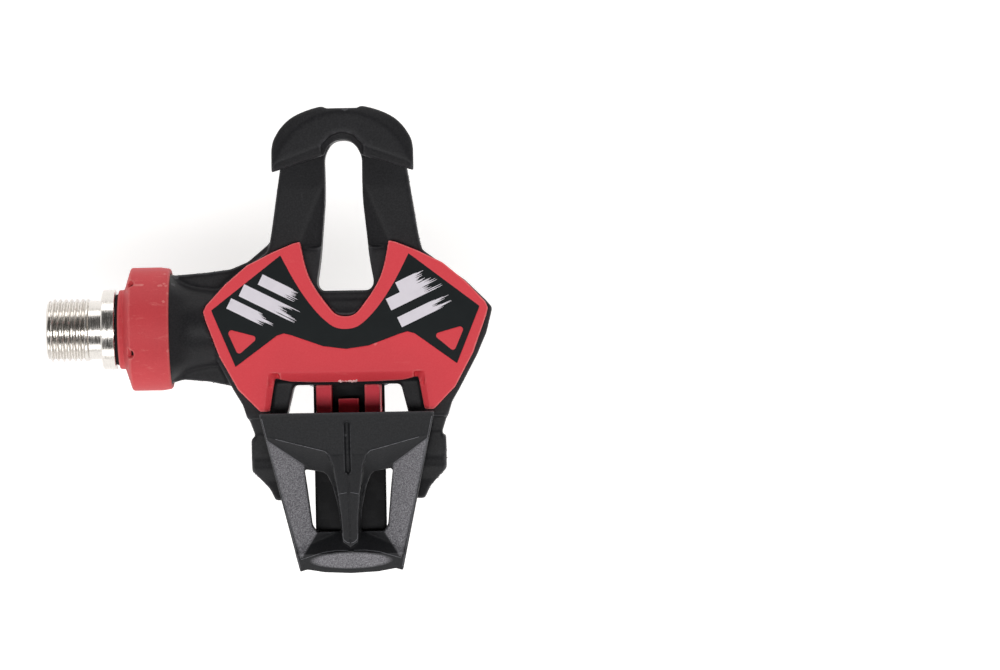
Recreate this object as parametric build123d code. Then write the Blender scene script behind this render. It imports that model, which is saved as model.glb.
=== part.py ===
from build123d import *
import math
import os

# Right-hand clipless road pedal with a carbon leaf under the rear jaw. Millimetres.
# X runs outboard along the spindle, Y forward and Z up towards the shoe.
# The origin is the centre of the flange face that seats against the crank arm.
# Plan outlines are given for the +X side of the pedal's own centreline and mirrored.
# Pieces on that centreline are made about X = 0 and moved out by place().

# driving dimensions
pedal_centre = 54.8          # crank face to the pedal's centreline
platform_top = 7.0           # top of the moulded body, under the cover
cover_thick = 2.5
decal_thick = 0.15
plate_thick = 4.0
slack = 0.05                 # radial clearance of running and assembled round fits
side_gap = 0.55              # between the jaw's walls and the ears that carry it
rim_overhang = 1.1           # the jaw's edge stands out past its walls, over the ears
rim_height = 2.6

# spindle, 9/16 in x 20 tpi thread
thread_radius = 7.144
thread_end = -12.4
thread_chamfer = 0.8
relief_start = -3.2
relief_radius = 6.65
flange_radius = 9.0
flange_width = 3.0
seal_seat_radius = 6.2
hex_flats = 8.0
hex_depth = 6.0
hex_mouth = 0.3              # lead-in around the hexagon's corners
spindle_mid_radius = 4.4
edge_break = 0.3             # small chamfers on turned edges

# inboard ball bearing, 10 x 19 x 5
bearing_start = 7.3
bearing_bore = 10.0
bearing_outer = 19.0
bearing_width = 5.0
ball_diameter = 2.381
ball_pitch_radius = (bearing_bore + bearing_outer) / 4
ball_count = 11
race_gap = 0.9               # each ring stops this far from the balls' pitch circle
race_wall = (bearing_outer - bearing_bore) / 4 - race_gap
cage_width = 2.8
cage_thick = 0.8
shield_thick = 0.25
shield_gap = 0.15

# outboard needle bearing, 7 x 11 x 9
needle_start = pedal_centre + 3.2
needle_width = 9.0
needle_bore = 7.0
needle_outer = 11.0
roller_diameter = 1.5
roller_length = 6.4
roller_count = 14
shell_wall = 0.5
shell_lip = 0.3              # clearance of the shell's lips over the spindle
needle_cage_thick = 0.4
needle_cage_end = 0.5        # cage past each end of the rollers
needle_stop = 0.8            # step in the bore behind the shell
spindle_end = needle_start + needle_width + 2.0
spindle_end_room = 1.2

# circlip, seal, shim and collar
clip_thick = 0.8
clip_groove_radius = 4.7
clip_outer_radius = 6.3
collar_start = 3.7
collar_end = 15.5
collar_bore = 7.9
collar_rim_radius = 8.9
collar_radius = 13.85
collar_web_end = 7.05
spigot_radius = 12.4
spigot_gap = 0.1             # the body's spigot stops short of the collar's web
seal_start = 3.1
seal_end = 6.6
seal_lip = 0.6
pit_radius = 1.15
pit_depth = 1.6
pit_x = 6.5
pit_first_angle = 48.0
pit_count = 5

# body
barrel_radius = 9.0
barrel_end = spindle_end + 4.5
barrel_end_round = 3.0
barrel_bore = needle_outer / 2
flare_end = 30.0             # where the barrel's flare from the collar runs out
body_low = -7.0
hook_low = 11.2
hook_top = 14.0
hook_ridge_radius = 15.5
hook_ridge_centre = 32.1
recess_back = 40.4
recess_floor = 6.6
hook_slope = 27.0            # degrees, the fall outside the hook's curved ridge
hook_spread = 7.0            # how far that slope runs

# jaw, pin and blade
pivot_y = -28.8
pivot_z = -2.0
pin_radius = 1.75
boss_radius = 3.7
jaw_boss_radius = boss_radius + 0.4
bush_wall = 0.85
bush_length = 4.6
jaw_front = -19.3
jaw_rear = -55.4
jaw_front_half = 19.5
jaw_rear_half = 11.6
jaw_wall = 2.6
jaw_groove_half = 0.6        # groove along the middle of the jaw, then a fine seam behind it
jaw_groove_depth = 0.9
jaw_groove_end = -32.9
jaw_seam_half = 0.25
jaw_seam_depth = 0.5
boss_half = jaw_front_half + 2.4
pin_half = boss_half - 0.9
blade_half = 8.05
blade_thick = 1.2
blade_top = -7.0
blade_front = -7.5
blade_split = -13.6
blade_split_gap = 0.25
blade_rear = -50.0
blade_corner = 1.0
guide_gap = 0.15             # blade guide above the leaf
guide_half = blade_half - 0.65
guide_front = -13.25
guide_rear = -25.0
guide_thick = 1.6
guide_bar = 1.5              # bar that joins the rails at the rear
rail_width = 3.5
rail_half = guide_half - 0.2
tongue_half = 2.3
tongue_front = -16.4
clamp_half = blade_half + 1.45
clamp_thick = 2.4
clamp_corner = 1.5
clamp_front = -7.0
clamp_rear = -13.7
clamp_screw_x = blade_half - 2.45
clamp_screw_y = -10.6
clamp_screw_radius = 1.5
clamp_screw_head = 1.4       # height of the countersunk head, and how far it stands out
clamp_screw_top = -2.2
cam_radius = clamp_screw_x - clamp_screw_radius - clamp_screw_head - 0.1
cam_proud = 0.5
cam_slot_width = 0.9
cam_slot_depth = 0.9

# screws that hold the cover from below, as (x, y) on the +X side
cover_screw_places = [(20.6, 10.9), (22.4, -11.2)]
cover_screw_radius = 1.25
cover_screw_head = 2.2
cover_screw_head_height = 1.4
cover_screw_reach = 1.7      # how far the screws go into the cover
screw_gap = 0.15

far = 200.0                  # longer than anything here, for cutting blocks


def outline(half):
    """A closed plan face from the points of its +X side, from one end of the centreline to the other."""
    other = [(-x, y) for x, y in reversed(half) if x > 1e-6]
    return make_face(Polyline(*half, *other, close=True))


def curved(half):
    """A closed plan face from the edges of its +X side; Spline and Line edges run end to end."""
    return make_face(half + [mirror(edge, Plane.YZ) for edge in half])


def chain(points):
    return [Line(a, b) for a, b in zip(points[:-1], points[1:])]


def one_side(points, side):
    """A closed plan face on one side only."""
    return make_face(Polyline(*[(side * x, y) for x, y in points], close=True))


def plan(face, low, high):
    return Pos(0, 0, low) * extrude(face, high - low, dir=(0, 0, 1))


def both_sides(solid):
    return solid + mirror(solid, Plane.YZ)


def side_prism(points, half):
    """A (Y, Z) outline run across the pedal, half to each side."""
    wire = Polyline(*[(0, y, z) for y, z in points], close=True)
    return extrude(make_face(wire), half, dir=(1, 0, 0), both=True)


def turned(points):
    """A solid of revolution about the spindle from (x, radius) points."""
    wire = Polyline(*[(x, 0, r) for x, r in points], close=True)
    return revolve(make_face(wire), Axis.X, 360)


def tube(start, end, outer, inner):
    return turned([(start, inner), (end, inner), (end, outer), (start, outer)])


def above(point, across, along):
    """Everything above the plane through point that holds both directions."""
    a, b = Vector(*across), Vector(*along)
    normal = a.cross(b).normalized()
    if normal.Z < 0:
        normal = normal * -1
    plane = Plane(origin=point, x_dir=a.normalized(), z_dir=normal)
    return plane * Pos(0, 0, far / 2) * Box(far, far, far)


def place(solid):
    return Pos(pedal_centre, 0, 0) * solid


# ---- spindle and its bearings ----

def make_spindle():
    clip_at = bearing_start + bearing_width
    seat = bearing_bore / 2
    needle_seat = needle_bore / 2
    body = turned([
        (thread_end, 0),
        (thread_end, thread_radius - thread_chamfer),
        (thread_end + thread_chamfer, thread_radius),
        (relief_start, thread_radius),
        (relief_start + edge_break, relief_radius),
        (0, relief_radius),
        (0, flange_radius - edge_break),
        (edge_break, flange_radius),
        (flange_width - edge_break, flange_radius),
        (flange_width, flange_radius - edge_break),
        (flange_width, seal_seat_radius),
        (bearing_start, seal_seat_radius),
        (bearing_start, seat),
        (clip_at, seat),
        (clip_at, clip_groove_radius),
        (clip_at + clip_thick, clip_groove_radius),
        (clip_at + clip_thick, seat),
        (clip_at + 2.2, seat),
        (clip_at + 5, spindle_mid_radius),
        (needle_start - 3, spindle_mid_radius),
        (needle_start - 1.2, needle_seat),
        (spindle_end - 2 * edge_break, needle_seat),
        (spindle_end, needle_seat - 2 * edge_break),
        (spindle_end, 0),
    ])
    key = Plane(origin=(thread_end, 0, 0), x_dir=(0, 0, 1), z_dir=(1, 0, 0))
    hexagon = RegularPolygon(hex_flats / 2, 6, major_radius=False)
    body -= key * extrude(hexagon, hex_depth)
    mouth = hex_flats / 2 / math.cos(math.radians(30))
    body -= turned([
        (thread_end - 1, 0),
        (thread_end - 1, mouth + hex_mouth),
        (thread_end, mouth + hex_mouth),
        (thread_end + mouth * 0.6, 0),
    ])
    return body


def ball_centre():
    return bearing_start + bearing_width / 2


def race_groove():
    return Pos(ball_centre(), 0, 0) * Rot(0, 90, 0) * Torus(ball_pitch_radius, ball_diameter / 2 + slack)


def make_inner_ring():
    inner = bearing_bore / 2
    ring = tube(bearing_start, bearing_start + bearing_width, inner + race_wall, inner)
    return ring - race_groove()


def make_outer_ring():
    outer = bearing_outer / 2
    ring = tube(bearing_start, bearing_start + bearing_width, outer, outer - race_wall)
    return ring - race_groove()


def around(count, radius, piece, x=0.0, first=0.0):
    """Copies of a piece spaced evenly about the spindle."""
    step = 360 / count
    return [Pos(x, 0, 0) * Rot(first + i * step, 0, 0) * Pos(0, 0, radius) * piece for i in range(count)]


def make_balls():
    return Compound(around(ball_count, ball_pitch_radius, Sphere(ball_diameter / 2), ball_centre()))


def make_ball_cage():
    middle = ball_centre()
    start, end = middle - cage_width / 2, middle + cage_width / 2
    cage = tube(start, end, ball_pitch_radius + cage_thick / 2, ball_pitch_radius - cage_thick / 2)
    for pocket in around(ball_count, ball_pitch_radius, Sphere(ball_diameter / 2 + 2 * slack), middle):
        cage -= pocket
    return cage


def make_shields():
    outer = bearing_outer / 2 - race_wall
    inner = bearing_bore / 2 + race_wall + shield_gap
    end = bearing_start + bearing_width - slack
    first = tube(bearing_start + slack, bearing_start + slack + shield_thick, outer, inner)
    second = tube(end - shield_thick, end, outer, inner)
    return Compound([first, second])


def make_circlip():
    start = bearing_start + bearing_width
    ring = tube(start, start + clip_thick, clip_outer_radius, clip_groove_radius)
    gap = Pos(start, 0, -clip_outer_radius) * Box(4 * clip_thick, 3.0, 2 * (clip_outer_radius - 2))
    return ring - gap


def make_needle_shell():
    outer = needle_outer / 2
    end = needle_start + needle_width
    lip = needle_bore / 2 + shell_lip
    shell = tube(needle_start, end, outer, lip)
    return shell - tube(needle_start + shell_wall, end - shell_wall, outer - shell_wall, 0)


def needle_pitch():
    return (needle_bore + roller_diameter) / 2


def make_rollers():
    roller = Rot(0, 90, 0) * Cylinder(roller_diameter / 2 - slack / 2, roller_length)
    return Compound(around(roller_count, needle_pitch(), roller, needle_start + needle_width / 2))


def make_needle_cage():
    middle = needle_start + needle_width / 2
    half = roller_length / 2 + needle_cage_end
    outer, inner = needle_pitch() + needle_cage_thick / 2, needle_pitch() - needle_cage_thick / 2
    cage = tube(middle - half, middle + half, outer, inner)
    pocket = Rot(0, 90, 0) * Cylinder(roller_diameter / 2 + slack, roller_length + 4 * slack)
    for cut in around(roller_count, needle_pitch(), pocket, middle):
        cage -= cut
    return cage


def make_seal():
    lip = seal_seat_radius + slack
    return turned([
        (seal_start, lip + seal_lip),
        (seal_start + seal_lip, lip),
        (seal_start + 1.6, lip),
        (seal_start + 1.6 + seal_lip, lip + seal_lip),
        (seal_end, lip + seal_lip),
        (seal_end, collar_bore),
        (seal_start, collar_bore),
    ])


def make_shim():
    return tube(collar_web_end, bearing_start, bearing_outer / 2 - 0.2, bearing_outer / 2 - race_wall)


def make_collar():
    cone_start = collar_start + 1.4
    body = turned([
        (collar_start, collar_bore),
        (collar_start, collar_rim_radius - 0.2),
        (collar_start + 0.2, collar_rim_radius),
        (cone_start, collar_rim_radius),
        (cone_start, collar_rim_radius + 0.3),
        (cone_start + 1.4, collar_radius - 0.3),
        (cone_start + 1.7, collar_radius),
        (collar_end - 2.2, collar_radius),
        (collar_end - 0.3, collar_radius - 0.3),
        (collar_end, collar_radius - 0.6),
        (collar_end, spigot_radius + slack),
        (collar_web_end, spigot_radius + slack),
        (collar_web_end, collar_bore),
    ])
    pit = rod(pit_radius, -pit_depth, far)
    for cut in around(pit_count, collar_radius, pit, pit_x, -pit_first_angle):
        body -= cut
    return body


# ---- moulded body ----

cover_half = [
    (9.9, 18.9),
    (11.5, 18.5),
    (15.9, 16.7),
    (21.8, 13.8),
    (26.8, 9.6),
    (31.2, 4.9),
    (31.8, 3.5),
    (31.3, 1.6),
    (28.3, -6.5),
    (24.2, -14.0),
    (19.4, -18.9),
    (17.3, -18.9),
    (16.0, -11.5),
    (12.5, -12.3),
    (7.3, -12.5),
    (0, -12.6),
]
notch_depth = 2.1            # rear end of the V opening over the loop


def cover_edge():
    """The plan face of the cover: straight sides, and a curved V at the front."""
    front = Spline((9.9, 18.9), (7.8, 10.6), (3.4, 3.9), (0, notch_depth), tangents=[(-0.2, -1), (-1, 0)])
    return curved([front] + chain(cover_half))


window_half = 17.4           # rear window: outer line of its bevel
window_front = -10.4
window_drop = 0.9            # how far the bevel falls
window_bevel = 2.1
window_side_bevel = 1.2
window_skew = (1.1, -8.8)    # the sides of the window spread towards the rear


def screws_both_sides(piece):
    return [Pos(side * x, y, 0) * piece for x, y in cover_screw_places for side in (1, -1)]


def rod(radius, low, high):
    return Pos(0, 0, low) * Cylinder(radius, high - low, align=(Align.CENTER, Align.CENTER, Align.MIN))


def make_cover():
    top = platform_top + cover_thick
    cover = plan(cover_edge(), platform_top, top)
    front_band = outline([(window_half, window_front), (window_half, -13.4)])
    front_slope = above((0, window_front, top), (1, 0, 0), (0, -window_bevel, -window_drop))
    cover -= plan(front_band, platform_top, top + 1) & front_slope
    for side in (1, -1):
        line = (side * window_skew[0], window_skew[1], 0)
        inward = (-side * window_side_bevel, 0, -window_drop)
        slope = above((side * window_half, window_front, top), line, inward)
        strip = [(15.0, window_front), (window_half, window_front), (window_half + 1.3, -20.8), (15.0, -20.8)]
        cover -= plan(one_side(strip, side), platform_top, top + 1) & slope
    screw_hole = rod(cover_screw_radius, platform_top - 1, platform_top + cover_screw_reach + 0.1)
    for hole in screws_both_sides(screw_hole):
        cover -= hole
    return cover - decal_solid(top - decal_thick, top + 1)


def decal_solid(low, high):
    """The film's shape: two wings joined by a curved band, each wing with a window."""
    rim = chain([(0, -5.2), (5.1, -4.5), (12.0, -2.0), (13.8, -1.5), (15.4, -2.0), (24.7, -8.8),
                 (29.6, 3.0), (29.9, 3.9), (14.3, 15.9)])
    inner = Spline((14.3, 15.9), (9.5, 7.2), (3.6, 0.4), (0, -0.75), tangents=[(-0.5, -1), (-1, 0)])
    film = plan(curved(rim + [inner]), low, high)
    for side in (1, -1):
        window = fillet(one_side([(26.7, -0.25), (19.4, -2.25), (24.1, -6.25)], side).vertices(), 0.7)
        film -= plan(window, low - 1, high + 1)
    return film


def make_decal():
    top = platform_top + cover_thick
    return decal_solid(top - decal_thick, top)


def make_cover_screws():
    low = platform_top - plate_thick
    screw = rod(cover_screw_radius, low, platform_top + cover_screw_reach)
    screw += rod(cover_screw_head, low - cover_screw_head_height, low)
    screw = fillet(screw.faces().sort_by(Axis.Z)[0].edges(), 0.4)
    drive = Pos(0, 0, low - cover_screw_head_height) * extrude(RegularPolygon(0.9, 6), 0.8)
    return Compound(screws_both_sides(screw - drive))


# body outlines, +X side
arm_inner_front = 12.0       # the rear arms' inner edges spread towards the rear
arm_inner_rear = 13.8
platform_half = [
    (0, 18.0),
    (17.0, 17.0),
    (26.8, 9.8),
    (31.6, 5.0),
    (32.8, 3.5),
    (31.4, -2.0),
    (29.2, -7.0),
    (25.2, -14.4),
    (23.4, -17.4),
    (22.4, -20.6),
    (arm_inner_rear, -20.6),
    (arm_inner_front, -13.2),
    (0, -13.2),
]


def leg_edge():
    """Plan face of the two legs and the nose, without the slot."""
    nose = Spline((0, 48.3), (6.0, 47.7), (11.6, 45.0), (14.2, 41.0), (14.2, 35.2),
                  tangents=[(1, 0), (0.1, -1)])
    leg = Spline((14.2, 35.2), (15.1, 29.4), (16.4, 20.8), (17.4, 16.6), (22.0, 9.0),
                 tangents=[(0.15, -1), (0.7, -1)])
    return curved([nose, leg] + chain([(22.0, 9.0), (0, 6.0)]))


def slot_edge():
    """Plan face of the opening between the legs."""
    front = Spline((0, 41.4), (2.6, 40.5), (4.0, 38.0), (4.15, 35.0), tangents=[(1, 0), (0, -1)])
    flank = Spline((4.15, 35.0), (4.25, 28.0), (4.75, 22.5), (5.35, 16.4), (6.3, 10.4),
                   tangents=[(0, -1), (0.2, -1)])
    rear = Spline((6.3, 10.4), (6.05, 8.7), (4.6, 7.9), tangents=[(0.2, -1), (-1, 0)])
    return curved([front, flank, rear, Line((4.6, 7.9), (0, 7.9))])


def hook_edge():
    """Plan face of the front hook, with the shallow notch in its front edge."""
    crown = Spline((4.1, 48.9), (8.7, 47.7), (12.6, 45.4), (15.2, 41.8), (15.8, 37.6),
                   tangents=[(1, -0.12), (0, -1)])
    return curved(chain([(0, 48.4), (3.8, 48.4), (4.1, 48.9)]) + [crown]
                  + chain([(15.8, 37.6), (15.8, 34.3), (0, 39.2)]))


def web_start():
    """Plan X of the end of the arm towards the crank, just clear of the collar."""
    return collar_end + 0.2 - pedal_centre


web_points = [
    (web_start(), 11.9),
    (web_start() + 7.3, 12.4),
    (-25.8, 13.1),
    (-21.9, 14.7),
    (-16.0, 19.6),
    (-14.0, -14.0),
    (-25.6, -13.2),
    (-31.2, -12.0),
    (web_start() + 2.3, -11.5),
    (web_start(), -12.1),
]


def jaw_half_at(y):
    """Half width of the jaw's plan at a distance along Y."""
    share = (y - jaw_front) / (jaw_rear - jaw_front)
    return jaw_front_half + share * (jaw_rear_half - jaw_front_half)


def make_barrel():
    start = (collar_web_end + spigot_gap, spigot_radius)
    shoulder = (collar_end + spigot_gap, spigot_radius)
    neck = (shoulder[0], spigot_radius - 0.2)
    flared = (flare_end, barrel_radius)
    rounding = (barrel_end - barrel_end_round, barrel_radius)
    tip = (barrel_end, barrel_radius - barrel_end_round)
    edge = [
        Line((start[0], 0), start),
        Line(start, shoulder),
        Line(shoulder, neck),
        Spline(neck, (19.0, 10.2), (24.0, 9.2), flared, tangents=[(1, -0.6), (1, 0)]),
        Line(flared, rounding),
        RadiusArc(rounding, tip, barrel_end_round),
        Line(tip, (barrel_end, 0)),
        Line((barrel_end, 0), (start[0], 0)),
    ]
    return revolve(make_face(edge), Axis.X, 360)


def make_bores():
    seat = bearing_outer / 2
    end = bearing_start + bearing_width
    clip_room = bearing_outer / 2 - race_wall
    return turned([
        (collar_web_end - 1, 0),
        (collar_web_end - 1, seat),
        (end, seat),
        (end, clip_room),
        (end + 2.2, clip_room),
        (end + 3.4, barrel_bore),
        (needle_start + needle_width, barrel_bore),
        (needle_start + needle_width, barrel_bore - needle_stop),
        (spindle_end + spindle_end_room, barrel_bore - needle_stop),
        (spindle_end + spindle_end_room, 0),
    ])


def make_loop():
    """The two legs and the nose that joins them under the hook."""
    legs = plan(leg_edge(), -12, hook_top)
    sides = side_prism([
        (5.0, platform_top),
        (31.0, platform_top),
        (recess_back, recess_floor),
        (recess_back, hook_low + 0.5),
        (48.0, hook_low + 0.5),
        (47.6, 8.0),
        (45.0, 4.6),
        (35.0, 0.2),
        (20.0, -2.6),
        (9.0, body_low),
        (5.0, body_low),
    ], 30)
    loop = legs & sides
    hook = plan(hook_edge(), hook_low, hook_top)
    fall = hook_spread * math.tan(math.radians(hook_slope))
    dome = Cone(hook_ridge_radius + hook_spread, hook_ridge_radius, fall,
                align=(Align.CENTER, Align.CENTER, Align.MIN))
    hook &= Pos(0, hook_ridge_centre, hook_top - fall) * dome
    for side in (1, -1):
        lip_slope = above((side * 15.8, 36.0, hook_top), (-side * 11.3, 4.1, 0), (0, -1.7, -0.9))
        lip_region = one_side([(0, 46.0), (17.0, 46.0), (17.0, 33.0), (0, 33.0)], side)
        hook -= lip_slope & plan(lip_region, 0, hook_top + 2)
    loop += hook
    loop -= plan(slot_edge(), -20, 20)
    mouth = [(0, 43.2), (2.6, 42.4), (4.6, 40.2), (4.9, 33.0), (0, 33.0)]
    loop -= plan(outline(mouth), hook_low + 0.9, hook_top + 2)
    for side in (1, -1):
        leg_bevel = above((side * 9.85, 19.45, platform_top), (-side * 5.35, 12.85, 0),
                          (-side * 12.0, -5.0, -5.4))
        leg_region = one_side([(0, 34.0), (14.0, 34.0), (14.0, 6.0), (0, 6.0)], side)
        loop -= leg_bevel & plan(leg_region, 0, platform_top + 1)
    return loop


def make_ears():
    """Rear arms, the bosses for the pivot pin and the fins behind them."""
    edge = side_gap - rim_overhang
    outer_offsets = [(-15.0, 4.0), (-17.4, 3.48), (-20.6, 2.98), (-24.6, 2.56)]
    outer = [(jaw_half_at(y) + out, y) for y, out in outer_offsets]
    tail = [(jaw_half_at(y) + out, y) for y, out in ((-34.8, 3.49), (-36.6, 2.29), (-39.2, 1.7))]
    inner = [(jaw_half_at(y) + edge, y) for y in (-39.2, -15.0)]
    ear = outer + [(boss_half, -25.1), (boss_half, -32.4)] + tail + inner
    shape = make_face(Polyline(*ear, close=True))
    profile = side_prism([
        (-15.0, platform_top - 0.4),
        (-19.0, 5.6),
        (-24.0, 1.9),
        (pivot_y, pivot_z + boss_radius),
        (-32.0, 0.6),
        (-34.6, -1.6),
        (-39.4, -3.2),
        (-39.4, -4.9),
        (-33.0, -5.2),
        (pivot_y, pivot_z - boss_radius),
        (-15.0, -5.4),
    ], 40)
    return both_sides(plan(shape, -8, 8) & profile)


def make_body():
    plate = plan(outline(platform_half), platform_top - plate_thick, platform_top)
    arm = [(23.4, -17.4), (22.4, -20.6), (arm_inner_rear, -20.6), (arm_inner_front, -13.2), (12.4, -6.0)]
    arm += [(26.0, -6.0), (25.2, -14.4)]
    arms = both_sides(plan(one_side(arm, 1), -5.4, platform_top))
    block = plan(outline([(0, 7.9), (11.5, 6.0), (11.5, -13.2), (0, -13.2)]), body_low, platform_top)
    web = plan(make_face(Polyline(*web_points, close=True)), -3.5, 3.2)
    ribs = both_sides(Pos(17.0, -2.0, 0) * Box(2.4, 34.0, 8.0))
    body = plate + arms + block + web + ribs + make_ears() + make_loop()
    body -= plan(outline([(16.2, -12.0), (17.6, -22.0)]), platform_top - 1.6, 30)
    boss = Pos(0, pivot_y, pivot_z) * Rot(0, 90, 0) * Cylinder(boss_radius, 2 * boss_half)
    gap = plan(outline([(jaw_half_at(y) + side_gap - rim_overhang, y) for y in (-24.0, -34.0)]), -20, 20)
    body += boss - gap
    body = place(body) + make_barrel()
    body -= place(plan(cover_edge(), platform_top, platform_top + 20))
    body -= place(plan(slot_edge(), -20, 20))
    body -= make_bores()
    body -= place(Pos(0, pivot_y, pivot_z) * Rot(0, 90, 0) * Cylinder(pin_radius, 2 * pin_half))
    screw_hole = rod(cover_screw_radius + screw_gap, -20, platform_top + 1)
    screw_hole += rod(cover_screw_head + 2 * screw_gap, -20, platform_top - plate_thick)
    for hole in screws_both_sides(screw_hole):
        body -= place(hole)
    for side in (1, -1):
        thread = rod(clamp_screw_radius, body_low - 1, clamp_screw_top + 2 * screw_gap)
        body -= place(Pos(side * clamp_screw_x, clamp_screw_y, 0) * thread)
    return body


# ---- jaw, pin, blade and its clamp ----

jaw_profile = [
    (jaw_front, hook_top),
    (-28.8, 12.2),
    (-37.8, 7.6),
    (-49.7, 0.8),
    (-51.2, -0.2),
    (-56.2, -3.9),
    (-56.2, -5.6),
    (-54.0, blade_top + 0.1),
    (-46.4, blade_top + 0.1),
    (-41.0, -5.2),
    (-33.4, -6.6),
    (-25.6, -6.6),
    (-22.6, -3.2),
    (-21.7, 9.2),
    (-21.2, 11.0),
    (jaw_front, 11.6),
]
brow = [(18.5, -24.5), (4.7, -28.0), (4.2, -28.9), (3.35, -31.2), (2.4, -37.8), (1.9, -42.6), (1.7, -48.6)]
facet_points = [(18.6, -24.5, 12.9), (10.0, -30.8, 6.5), (11.8, -52.3, -2.0)]
jaw_window = [(9.9, -32.0), (5.7, -32.7), (4.9, -33.4), (3.8, -36.0), (2.7, -41.0), (2.2, -46.4),
              (7.5, -46.4), (8.5, -44.7), (9.4, -36.0)]


def between(a, b):
    return tuple(q - p for p, q in zip(a, b))


def flipped(point, side):
    return (side * point[0],) + tuple(point[1:])


def facet(side, drop=0.0):
    """Everything above the granular side facet, lowered by drop."""
    a, b, c = [flipped(p, side) for p in facet_points]
    return above((a[0], a[1], a[2] - drop), between(a, b), between(a, c))


def bush_centre():
    """Middle of each pivot boss; its outer end stops inside the wall, clear of the ears."""
    return jaw_half_at(pivot_y - jaw_boss_radius) - rim_overhang - bush_length / 2


def jaw_groove(half, end, depth):
    """Block to cut from the middle of the jaw, following its sloping top."""
    block = plan(outline([(half, -21.4), (half, end)]), -20, 20)
    front = above((0, jaw_front, hook_top - depth), (1, 0, 0), (0, -9.5, -1.8))
    rear = above((0, -28.8, 12.2 - depth), (1, 0, 0), (0, -20.9, -11.4))
    return (block & front) + (block & rear)


def make_jaw():
    rear = [(0, -55.9), (6.0, -55.6), (10.0, -54.9), (jaw_rear_half, jaw_rear)]
    shape = outline(rear + [(jaw_front_half, jaw_front), (0, jaw_front)])
    jaw = plan(shape, -9, 20) & side_prism(jaw_profile, 30)
    for side in (1, -1):
        region = brow + [(0, -49.8), (0, -50.7), (4.0, -51.0), (11.9, -52.4), (30.0, -52.4), (30.0, -24.5)]
        cut = plan(one_side(region, side), -20, 20)
        a = flipped((18.6, -24.5, 12.9), side)
        brow_slope = above(a, between(a, flipped((4.7, -28.0, 12.3), side)),
                           between(a, flipped((10.0, -30.8, 6.5), side)))
        sill = above(flipped((7.5, -46.4, -3.4), side), (1, 0, 0), (0, -5.2, 3.1))
        jaw -= cut & facet(side) & brow_slope & sill
        front, rear_wall = -24.4, -46.2
        hollow = [(1.9, front), (jaw_half_at(front) - jaw_wall, front),
                  (jaw_half_at(rear_wall) - jaw_wall, rear_wall), (1.9, rear_wall)]
        jaw -= plan(one_side(hollow, side), -20, 20) - facet(side, 2.2)
        wall_line = [(jaw_half_at(y) - rim_overhang, y) for y in (-20.0, -60.0)]
        outside = plan(one_side(wall_line + [(40.0, -60.0), (40.0, -20.0)], side), -20, 20)
        rim_low = above((0, -24.5, 12.9 - rim_height), (1, 0, 0), (0, -27.8, -14.9))
        jaw -= outside - rim_low
        jaw -= plan(one_side(jaw_window, side), -20, 20)
    web_low = above((0, pivot_y, 1.2), (1, 0, 0), (0, -17.4, -6.6))
    jaw -= plan(outline([(2.0, -24.0), (2.0, -46.2)]), -20, 20) - web_low
    jaw -= plan(outline([(13.4, -20.0), (13.4, -25.0)]), -20, 1.6)
    jaw -= jaw_groove(jaw_groove_half, jaw_groove_end, jaw_groove_depth)
    jaw -= jaw_groove(jaw_seam_half, -48.6, jaw_seam_depth)
    for side in (1, -1):
        boss = Rot(0, 90, 0) * Cylinder(jaw_boss_radius, bush_length)
        jaw += Pos(side * bush_centre(), pivot_y, pivot_z) * boss
    jaw -= Pos(0, pivot_y, pivot_z) * Rot(0, 90, 0) * Cylinder(pin_radius + bush_wall, 60)
    return jaw


def make_pin():
    pin = Pos(0, pivot_y, pivot_z) * Rot(0, 90, 0) * Cylinder(pin_radius, 2 * pin_half)
    return chamfer(pin.edges(), edge_break)


def make_bushes():
    bush = Cylinder(pin_radius + bush_wall, bush_length) - Cylinder(pin_radius + slack, 2 * bush_length)
    return Compound([Pos(side * bush_centre(), pivot_y, pivot_z) * Rot(0, 90, 0) * bush for side in (1, -1)])


def blade_sheet(front, rear):
    half = [(blade_half, front), (blade_half, rear + blade_corner), (blade_half - blade_corner, rear)]
    return plan(outline(half), blade_top - blade_thick, blade_top)


def make_blade_root():
    root = blade_sheet(blade_front, blade_split)
    for side in (1, -1):
        root -= Pos(side * clamp_screw_x, clamp_screw_y, 0) * rod(clamp_screw_radius + screw_gap, -20, 0)
    return root


def make_blade_leaf():
    return blade_sheet(blade_split - blade_split_gap, blade_rear)


def make_blade_guide():
    """Red guide that keeps the leaf down behind the clamp."""
    low = blade_top + guide_gap
    base = plan(outline([(guide_half, guide_front), (guide_half, guide_rear)]), low, low + guide_thick)
    inner = rail_half - rail_width
    opening = outline([(inner, guide_front + 1), (inner, guide_rear + guide_bar)])
    base -= plan(opening, low - 1, low + 2 * guide_thick)
    rail = Box(rail_width, 11.7, 7.0, align=(Align.MAX, Align.CENTER, Align.MIN))
    rail = Pos(rail_half, -19.1, low) * rail
    tongue = side_prism([(tongue_front, -2.1), (-24.0, -4.6), (guide_rear, -5.4), (guide_rear, low),
                         (tongue_front, low)], tongue_half)
    return base + both_sides(rail) + tongue


def countersink(room=0.0):
    """The clamp screws' tapered head, standing on its wide end."""
    return Cone(clamp_screw_radius + clamp_screw_head + room, clamp_screw_radius, clamp_screw_head + room,
                align=(Align.CENTER, Align.CENTER, Align.MIN))


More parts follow.
